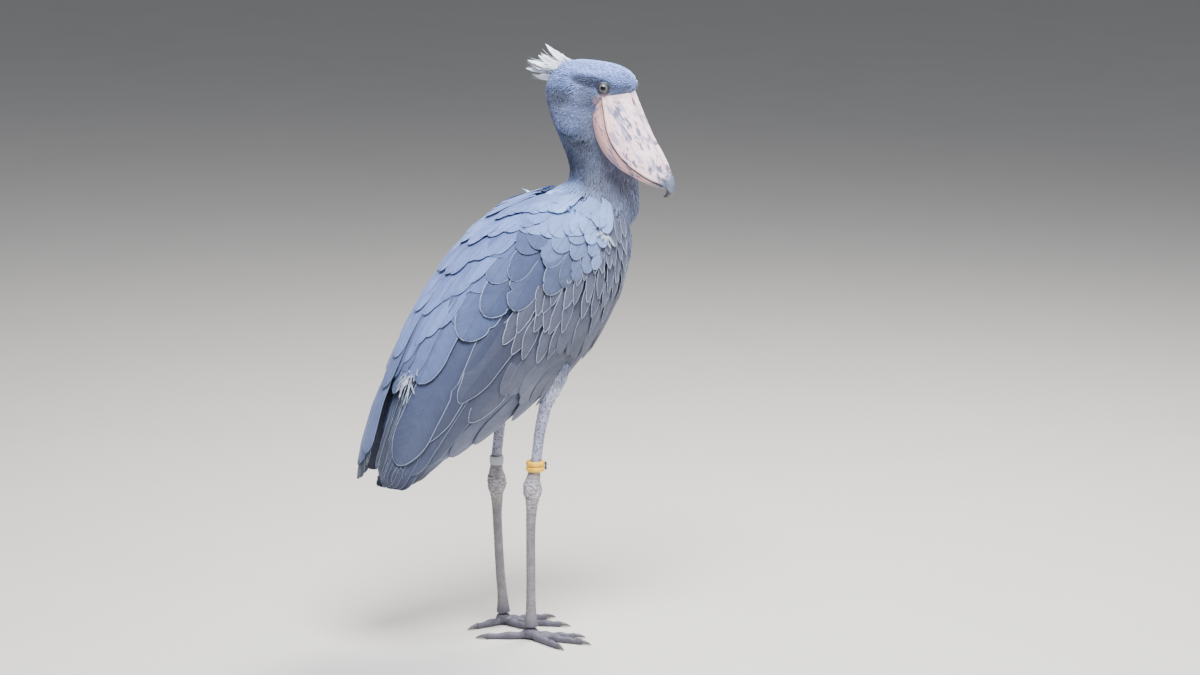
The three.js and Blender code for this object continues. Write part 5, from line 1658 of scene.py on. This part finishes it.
def roll_profile(tall, outer, inner, rolls):
    """Rounded rolls one over the other, from the inner face round the outside."""
    profile = [(inner, tall / 2 - 0.6), (inner, 0.0), (inner, -tall / 2 + 0.6)]
    for roll in range(rolls):
        middle = -tall / 2 + tall * (roll + 0.5) / rolls
        for swing in np.linspace(-0.5 * math.pi, 0.5 * math.pi, 13):
            low = inner + (outer - inner) * (0.45 if rolls > 1 else 0.25)
            out = low + (outer - low) * math.cos(swing) ** (0.8 if rolls > 1 else 0.22)
            profile.append((out, middle + tall / rolls / 2 * math.sin(swing) * 0.98))
    return profile


def catch_piece(surface):
    """The dark catch on the front of the yellow band: a rounded block with a groove."""
    way = heading_way(CATCH_HEADING)
    axes = np.array([way, np.cross((0, 0, 1), way), (0, 0, 1)])
    reach = YELLOW_SIZES[1] + CATCH_GAP + CATCH_BLOCKS[0][1][0]
    centre = np.array([leg_middle("right", YELLOW_Z), -LEG_SPREAD, YELLOW_Z]) + way * reach
    forms = []
    for offset, size in CATCH_BLOCKS:
        square = sphere(np.linspace(0.06, math.pi - 0.06, 22), full_turn(36))
        square = np.sign(square) * np.abs(square) ** 0.45
        forms.append(loft(centre + (square * size + offset) @ axes))
    piece = show("catch_surface", raw_mesh("catch_surface", *joined(forms)), surface)
    write(piece.data, "shade", ramp(np.abs(points_of(piece.data)[:, 2] - YELLOW_Z), 1.6, 0.4))
    return piece


# What a user would change, one group for each operator or for several alike

def colour_of(name, text, value):
    return FloatVectorProperty(name=name, description=text, default=value, subtype="COLOR", size=3, min=0,
                               max=1)


class ShoebillPlumage(bpy.types.PropertyGroup):
    """Colours of the coat and the feathers."""
    # Partly the crown's own colour, partly a painted highlight on the top of the head.
    crown: colour_of("Crown", "Top of the head", (0.205, 0.29, 0.63))
    cheek: colour_of("Cheek", "Side of the head", (0.13, 0.16, 0.275))
    # The brow colour is painted shade: under the brow, in the hollow of the ear and in the fold under the
    # jaw.
    brow_shade: colour_of("Brow", "Dark patch over the eye", (0.014, 0.015, 0.024))
    chin: colour_of("Chin", "Under the bill's root", (0.17, 0.205, 0.3))
    nape: colour_of("Nape", "Back of the neck", (0.064, 0.074, 0.115))
    neck_side: colour_of("Neck side", "Side of the neck", (0.084, 0.096, 0.143))
    neck_front: colour_of("Neck front", "Front of the neck", (0.15, 0.175, 0.26))
    breast: colour_of("Breast", "Breast", (0.21, 0.26, 0.42))
    belly: colour_of("Belly", "Belly", (0.13, 0.145, 0.2))
    flank: colour_of("Flank", "Flank", (0.098, 0.106, 0.155))
    back: colour_of("Back", "Mantle and scapulars", (0.18, 0.265, 0.6))
    # Partly the shoulder's paler plumage, partly a painted highlight on it.
    shoulder_and_highlight: colour_of("Shoulder", "Shoulder", (0.34, 0.52, 0.98))
    rump: colour_of("Rump", "Rump", (0.13, 0.17, 0.29))
    thigh: colour_of("Thigh", "Feathers of the thigh", (0.57, 0.62, 0.78))
    covert: colour_of("Coverts", "Wing coverts", (0.064, 0.088, 0.175))
    secondary: colour_of("Secondaries", "Secondaries and tertials", (0.06, 0.074, 0.13))
    primary: colour_of("Primaries", "Primaries", (0.085, 0.1, 0.175))
    primary_tip: colour_of("Tips", "Tips of primaries and tail", (0.013, 0.015, 0.025))
    fringe: colour_of("Fringe", "Pointed feathers over the wing's lower edge", (0.1, 0.107, 0.158))
    tail: colour_of("Tail", "Tail feathers", (0.05, 0.062, 0.1))
    undertail: colour_of("Undertail", "Undertail coverts", (0.078, 0.095, 0.16))
    edge: colour_of("Edges", "Pale edges of the feathers", (0.62, 0.74, 1.0))
    down: colour_of("Bare down", "Pale down where feathers are torn or parted", (0.78, 0.82, 0.92))
    vane_shade: colour_of("Variation", "Shade that single feathers vary towards", (0.66, 0.66, 0.7))
    crest: colour_of("Crest", "Loose plumes of the crest", (0.92, 0.95, 1.0))
    density: FloatProperty(name="Density", description="Share of the usual number of small feathers",
                           default=1.0, min=0.2, max=1.5)
    seed: IntProperty(name="Seed", description="Seed of the scattered feathers", default=4)


class ShoebillBare(bpy.types.PropertyGroup):
    """Colours of the bill, the eyes, the legs and the bands."""
    horn: colour_of("Horn", "Cream of the upper bill", (0.9, 0.82, 0.88))
    blush: colour_of("Blush", "Pink of the upper bill", (0.86, 0.53, 0.55))
    horn_low: colour_of("Lower horn", "Cream of the lower bill", (0.74, 0.5, 0.48))
    blush_low: colour_of("Lower blush", "Pink of the lower bill", (0.7, 0.38, 0.35))
    streak: colour_of("Streaks", "Grey-blue streaks of the bill", (0.22, 0.24, 0.4))
    streak_dark: colour_of("Dark streaks", "Fine darker streaks of the bill", (0.09, 0.09, 0.17))
    nail: colour_of("Nail", "Hooked nail of the bill", (0.12, 0.145, 0.215))
    # Mouth line: painted shade in the mouth's gap, the grooves, the nostril slits, the groove before the nail
    # and the bill's root.
    mouth: colour_of("Mouth line", "Mouth line, grooves and nostrils", (0.06, 0.04, 0.045))
    iris: colour_of("Iris", "Pale part of the iris", (0.12, 0.135, 0.13))
    iris_dark: colour_of("Iris rays", "Darker rays of the iris", (0.065, 0.074, 0.073))
    iris_rim: colour_of("Iris rim", "Outer ring of the iris", (0.02, 0.02, 0.022))
    pupil_angle: FloatProperty(name="Pupil", description="Half the angle the pupil takes in degrees",
                               default=27.0, min=10, max=35)
    lid: colour_of("Lids", "Bare skin round the eye", (0.12, 0.125, 0.17))
    lid_dark: colour_of("Lid folds", "Folds of the bare skin", (0.018, 0.018, 0.028))
    tibia: colour_of("Tibia", "Bare skin over the heel", (0.37, 0.37, 0.5))
    tarsus: colour_of("Tarsus", "Skin under the heel", (0.235, 0.215, 0.225))
    toe: colour_of("Toes", "Skin of the toes", (0.1, 0.095, 0.125))
    heel: colour_of("Heel", "Pale wrinkles of the heel", (0.62, 0.6, 0.63))
    leg_dark: colour_of("Leg grooves", "Grooves between the scales", (0.09, 0.085, 0.1))
    leg_speck: colour_of("Leg specks", "Dark specks over the heel", (0.03, 0.03, 0.045))
    claw: colour_of("Claws", "Dark horn of the claws", (0.05, 0.045, 0.045))
    claw_pale: colour_of("Claw streaks", "Paler streaks of the claws", (0.13, 0.12, 0.12))
    yellow: colour_of("Yellow band", "Double band", (0.9, 0.5, 0.015))
    # The dirt colours also paint shade into the bands' grooves and inner faces and the catch's groove.
    yellow_dirt_and_shade: colour_of("Yellow dirt", "Dirt on the double band", (0.4, 0.24, 0.05))
    grey: colour_of("Grey band", "Grey band", (0.4, 0.41, 0.46))
    grey_dirt_and_shade: colour_of("Grey dirt", "Dirt on the grey band", (0.2, 0.19, 0.19))
    dark: colour_of("Catch", "Catch of the double band", (0.05, 0.04, 0.08))
    dark_dirt_and_shade: colour_of("Catch dirt", "Dirt on the catch", (0.12, 0.11, 0.12))


class ShoebillStage(bpy.types.PropertyGroup):
    """Floor, light and camera."""
    floor: colour_of("Floor", "Floor", (0.62, 0.59, 0.545))
    key: FloatProperty(name="Key light", description="Power of the key light", default=360.0, min=0,
                       unit="POWER")
    fill: FloatProperty(name="Fill light", description="Power of the fill light", default=45.0, min=0,
                        unit="POWER")
    lens: FloatProperty(name="Lens", description="Focal length in millimetres", default=119.68, min=20)


def looks():
    """The colours of the plumage and of the bare parts."""
    return bpy.context.scene.shoebill_plumage, bpy.context.scene.shoebill_bare


class Piece(bpy.types.Operator):
    """What all the operators share."""
    bl_options = {"REGISTER", "UNDO"}


class SHOEBILL_OT_skin(Piece):
    """Builds the one skin under the coat"""
    bl_idname = "shoebill.skin"
    bl_label = "Skin"

    def execute(self, context):
        look, _ = looks()
        skin = remeshed("skin", skin_forms(), 3.6, 14, 0.6)
        mesh = skin.data
        points, normals = points_of(mesh), normals_of(mesh)
        orbit = np.minimum(*(np.linalg.norm(points - eye_place(s), axis=1) for s in SIDES.values()))
        brow_shade, ear, jaw, fold = face(points)
        deep = 1.6 * ramp(orbit, 19, 12) + 2.6 * brow_shade + 3.4 * ear - 1.6 * jaw + 1.2 * fold
        points = points - normals * deep[:, None]
        move_points(mesh, points)
        mesh.materials.append(material("skin", skin_material))
        write(mesh, "tint", plumage(points, look))
        write(mesh, "bare", lore(points))
        lie, size, shares = coat_fields(points)
        write(mesh, "lie", lie)
        write(mesh, "size", size * MM)
        for name, share in shares.items():
            write(mesh, "grow_" + name, share)
        spot = unwrap(mesh, points)
        write(mesh, "root_place", np.concatenate([spot, np.zeros((len(spot), 1))], 1), "CORNER")
        write(mesh, "OFBake", spot, "CORNER")
        finish(skin, ["torso", "neck", "head", "thigh_left", "thigh_right"])
        return {"FINISHED"}


def skin_forms():
    """Closed forms that run into each other: trunk, neck, head, rump, thighs and the pads under the wings."""
    def body(rows, grow, low=0.0, high=1.0):
        t = np.linspace(low, high, 44)[:, None]
        return loft(around(rows, t, np.linspace(0, 360, 60, endpoint=False)[None], 1, grow)[0])

    def upper(rows, grow):
        t = np.linspace(0, 1, 40)[:, None]
        return loft(neck_points(rows, t, np.linspace(0, 360, 60, endpoint=False)[None], grow))

    whole = np.concatenate([NECK[:-1], HEAD])
    forms = [body(TRUNK, -6.5), upper(whole, -4.5), upper(HEAD[2:], -3.0), body(TAIL_WEDGE, -3.0)]
    for side, sign in SIDES.items():
        rows = between(LEGS[side], np.linspace(0, THIGH_TO, 24))
        path = np.stack([rows[:, 0], sign * LEG_SPREAD + 0 * rows[:, 0], rows[:, 1]], -1)
        forms.append(tube(path, rows[:, 2] - np.linspace(5, 1.5, 24), 28))
        rings = []
        for f in np.linspace(0, 1, 34):
            t, top, low = between(WING_EDGES, f)
            angle = np.linspace(top, low, 26)
            taper = math.sin(math.pi * min(max(f, 0.06), 0.94)) ** 0.5
            outer = around(SHEATH, t + 0 * angle, angle, sign, -6.5)[0]
            inner = around(SHEATH, t + 0 * angle, angle[::-1], sign, -9 - 22 * taper)[0]
            rings.append(np.concatenate([outer, inner]))
        forms.append(loft(rings))
    return forms


def finish(piece, replaced=()):
    """Hands a finished piece to the frame."""
    if replaced:
        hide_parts(*replaced)
    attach(piece, "root")


class SHOEBILL_OT_coat(Piece):
    """Grows the small feathers over the skin, region by region"""
    bl_idname = "shoebill.coat"
    bl_label = "Coat"

    def execute(self, context):
        look, _ = looks()
        skin = bpy.data.objects.get("skin")
        if skin is None:
            raise RuntimeError("the skin comes first")
        tree = scatter_tree()
        ids = {item.name: item.identifier for item in tree.interface.items_tree if item.in_out == "INPUT"}
        kinds = {}
        for kind, shapes in KINDS_OF_TUFT.items():
            kinds[kind] = bpy.data.collections.new("feathers_" + kind)
            for i, shape in enumerate(shapes):
                mesh = tuft_mesh(f"{kind}_{i}", *shape, seed=i)
                kinds[kind].objects.link(bpy.data.objects.new(mesh.name, mesh))
        for i, (region, (kind, spacing, lift, stray, pale, dark)) in enumerate(COATS.items()):
            coat = show("coat_" + region, skin.data.copy())
            modifier = coat.modifiers.new("feathers", "NODES")
            modifier.node_group = tree
            surface = material("coat_" + region, coat_material, "coat_" + region, look, pale, dark)
            given = {"Feathers": kinds[kind], "Region": "grow_" + region, "Lift": lift, "Stray": stray,
                     "Spacing": spacing * MM / look.density**0.5, "Seed": look.seed + i, "Material": surface}
            for name, value in given.items():
                modifier[ids[name]] = value
            applied(coat)
            for name in ["lie", "size", "root_place", "patch"] + ["grow_" + other for other in COATS]:
                spare = coat.data.attributes.get(name)
                if spare:
                    coat.data.attributes.remove(spare)
            finish(coat)
        for group in kinds.values():
            for spare in list(group.objects):
                bpy.data.meshes.remove(spare.data)
            bpy.data.collections.remove(group)
        bpy.data.node_groups.remove(tree)
        return {"FINISHED"}


class SHOEBILL_OT_wings(Piece):
    """Lays the feathers of both folded wings"""
    bl_idname = "shoebill.wings"
    bl_label = "Wings"

    def execute(self, context):
        look, _ = looks()
        surface = material("vanes", vane_material, look)
        for side in SIDES:
            feathers = wing_feathers(side, look, 9)
            wing = feather_piece("feathers_wing_" + side, feathers, VANE_GRID, 13, surface)
            finish(wing, ["wing_" + side])
        return {"FINISHED"}


class SHOEBILL_OT_tail(Piece):
    """Lays the tail feathers and their coverts"""
    bl_idname = "shoebill.tail"
    bl_label = "Tail"

    def execute(self, context):
        look, _ = looks()
        surface = material("vanes", vane_material, look)
        tail = feather_piece("feathers_tail", tail_feathers(look, 3), VANE_GRID, 17, surface)
        finish(tail, ["tail"])
        return {"FINISHED"}


class SHOEBILL_OT_crest(Piece):
    """Builds the loose plumes on the back of the crown"""
    bl_idname = "shoebill.crest"
    bl_label = "Crest"

    def execute(self, context):
        look, _ = looks()
        surface = material("crest", coat_material, "crest_plumes", look, 0.5, 0.1)
        finish(tubes_piece("crest", plume_strands(5), 6, surface, look.crest, 6))
        finish(feather_piece("crest_blades", plume_blades(look, 8), PLUME_GRID, 21, surface))
        return {"FINISHED"}


class SHOEBILL_OT_bill(Piece):
    """Builds both halves of the bill"""
    bl_idname = "shoebill.bill"
    bl_label = "Bill"

    def execute(self, context):
        _, bare = looks()
        upper = remeshed("bill_upper_horn", [upper_bill_form(), nail_form()], 1.0, 3, 0.5)
        lower = remeshed("bill_lower_horn", [lower_bill_form()], 1.1, 3, 0.5)
        upper.data.materials.append(material("horn", bill_material, "bill_horn", bare, bare.horn, bare.blush))
        lower.data.materials.append(
            material("horn_low", bill_material, "bill_horn_low", bare, bare.horn_low, bare.blush_low))
        carve_bill(upper, True)
        carve_bill(lower, False)
        finish(upper, ["bill_upper"])
        finish(lower, ["bill_lower"])
        return {"FINISHED"}


class SHOEBILL_OT_eyes(Piece):
    """Builds the eyes and their lids"""
    bl_idname = "shoebill.eyes"
    bl_label = "Eyes"

    def execute(self, context):
        _, bare = looks()
        glossy, wrinkled = material("eye", eye_material, bare), material("bare", bare_material, bare)
        for side, sign in SIDES.items():
            finish(eye_piece("eyeball_" + side, sign, glossy), ["eye_" + side])
            finish(lid_piece("lids_" + side, sign, wrinkled))
        return {"FINISHED"}


class SHOEBILL_OT_legs(Piece):
    """Builds the bare legs with their feet, and the claws"""
    bl_idname = "shoebill.legs"
    bl_label = "Legs and claws"

    def execute(self, context):
        _, bare = looks()
        for side in SIDES:
            leg = leg_piece(side, bare, material("leg", leg_material, bare))
            finish(leg, ["shin_" + side, "tarsus_" + side, "foot_" + side])
            for toe in TOES[side]:
                claw = claw_piece(f"claw_horn_{side}_{toe}", side, toe, material("claw", claw_material, bare))
                finish(claw, [f"claw_{side}_{toe}"])
        return {"FINISHED"}


class SHOEBILL_OT_bands(Piece):
    """Builds the bands on the legs"""
    bl_idname = "shoebill.bands"
    bl_label = "Bands"

    def execute(self, context):
        _, bare = looks()
        yellow = material("yellow", plastic_material, "yellow_plastic", bare.yellow, bare.yellow_dirt_and_shade)
        grey = material("grey", plastic_material, "grey_plastic", bare.grey, bare.grey_dirt_and_shade)
        dark = material("dark", plastic_material, "dark_plastic", bare.dark, bare.dark_dirt_and_shade)
        yellow_ring = ring_piece("yellow_rolls", "right", YELLOW_Z, roll_profile(*YELLOW_SIZES), yellow)
        grey_ring = ring_piece("grey_ring", "left", GREY_Z, roll_profile(*GREY_SIZES), grey)
        finish(yellow_ring, ["band_yellow"])
        finish(grey_ring, ["band_grey"])
        finish(catch_piece(dark), ["band_catch"])
        return {"FINISHED"}


# The camera: its turn and slope, how far off it stands, the millimetres that one pixel of the picture shows
# at the bird, and the pixels of the picture's middle and of the point of the floor where x and y are 0.
CAMERA_TURN, CAMERA_SLOPE = math.radians(30), math.radians(11)
CAMERA_DISTANCE = 7500.0
PIXEL = 1.88
PICTURE_MIDDLE = (600, 337.5)
ORIGIN_PIXEL = (517.0, 631.3)
FLOOR_HALF = 30000.0
# The point that the lamps light, in metres.
LIT = np.array([0.0, 0.0, 0.62])


class SHOEBILL_OT_stage(Piece):
    """Builds the floor, the lights and the camera"""
    bl_idname = "shoebill.stage"
    bl_label = "Stage"

    def execute(self, context):
        stage = context.scene.shoebill_stage
        cos, sin, fall = math.cos(CAMERA_TURN), math.sin(CAMERA_TURN), math.cos(CAMERA_SLOPE)
        right = np.array([cos, -sin, 0])
        ahead = np.array([sin * fall, cos * fall, -math.sin(CAMERA_SLOPE)])
        up = np.cross(right, ahead)
        aside, above = PICTURE_MIDDLE[0] - ORIGIN_PIXEL[0], ORIGIN_PIXEL[1] - PICTURE_MIDDLE[1]
        target = right * aside * PIXEL + up * above * PIXEL
        spot = target - ahead * CAMERA_DISTANCE

        corners = np.array([(-1, -1, 0), (1, -1, 0), (1, 1, 0), (-1, 1, 0)], float) * FLOOR_HALF
        surface = material("stage", stage_material, "floor_paper", stage.floor)
        floor = show("floor", raw_mesh("floor", corners, np.array([(0, 1, 2, 3)])), surface)

        def light(name, way, distance, size, power, colour=(1, 1, 1)):
            lamp = bpy.data.lights.new(name, "AREA")
            lamp.shape, lamp.size, lamp.energy, lamp.color = "DISK", size, power, colour
            piece = bpy.data.objects.new(name, lamp)
            context.scene.collection.objects.link(piece)
            piece.location = Vector(LIT + unit(np.array(way, float)) * distance)
            piece.rotation_euler = (Vector(LIT) - piece.location).to_track_quat("-Z", "Y").to_euler()
            return piece

        toward = -unit(ahead * [1, 1, 0])
        from_key = toward * 0.7 + right * 0.1 + np.array([0, 0, 1.4])
        from_fill = toward * 0.8 + right * 1.1 + np.array([0, 0, 0.35])
        from_rim = -toward * 0.7 + right * 0.5 + np.array([0, 0, 1.3])
        lamps = [
            light("key", from_key, 3.2, 1.8, stage.key, (0.92, 0.94, 1.0)),
            light("fill", from_fill, 3.4, 2.6, stage.fill, (0.93, 0.96, 1.0)),
            light("rim", from_rim, 3.0, 1.4, stage.key * 0.5),
        ]
        world = bpy.data.worlds.new("studio")
        world.use_nodes = True
        sky = world.node_tree.nodes["Background"].inputs
        sky["Color"].default_value = (0.82, 0.88, 1.0, 1)
        sky["Strength"].default_value = 0.24
        context.scene.world = world

        lens = bpy.data.cameras.new("camera")
        lens.lens, lens.sensor_width, lens.sensor_fit = stage.lens, 36.0, "HORIZONTAL"
        lens.clip_start, lens.clip_end = 0.1, 60.0
        camera = bpy.data.objects.new("camera", lens)
        context.scene.collection.objects.link(camera)
        turn = Matrix((right, up, -ahead)).transposed().to_4x4()
        camera.matrix_world = Matrix.Translation(Vector(place(spot))) @ turn
        context.scene.camera = camera
        return {"FINISHED"}


ORDER = ("skin", "coat", "wings", "tail", "crest", "bill", "eyes", "legs", "bands", "stage")


class SHOEBILL_PT_panel(bpy.types.Panel):
    """Lists the pieces and what a user would change"""
    bl_idname = "SHOEBILL_PT_panel"
    bl_label = "Shoebill"
    bl_space_type = "VIEW_3D"
    bl_region_type = "UI"
    bl_category = "Shoebill"

    def draw(self, context):
        for name in ORDER:
            self.layout.operator("shoebill." + name)
        for group in ("shoebill_plumage", "shoebill_bare", "shoebill_stage"):
            box = self.layout.box()
            settings = getattr(context.scene, group)
            for key in settings.__annotations__:
                box.prop(settings, key)


GROUPS = {"shoebill_plumage": ShoebillPlumage, "shoebill_bare": ShoebillBare, "shoebill_stage": ShoebillStage}
OPERATORS = (SHOEBILL_OT_skin, SHOEBILL_OT_coat, SHOEBILL_OT_wings, SHOEBILL_OT_tail, SHOEBILL_OT_crest,
             SHOEBILL_OT_bill, SHOEBILL_OT_eyes, SHOEBILL_OT_legs, SHOEBILL_OT_bands, SHOEBILL_OT_stage,
             SHOEBILL_PT_panel)


def register():
    for kind in (*GROUPS.values(), *OPERATORS):
        bpy.utils.register_class(kind)
    for name, group in GROUPS.items():
        setattr(bpy.types.Scene, name, PointerProperty(type=group))


def unregister():
    for name in GROUPS:
        delattr(bpy.types.Scene, name)
    for kind in (*reversed(OPERATORS), *reversed(list(GROUPS.values()))):
        bpy.utils.unregister_class(kind)


def main():
    register()
    for name in ORDER:
        getattr(bpy.ops.shoebill, name)()


if __name__ == "__main__":
    main()
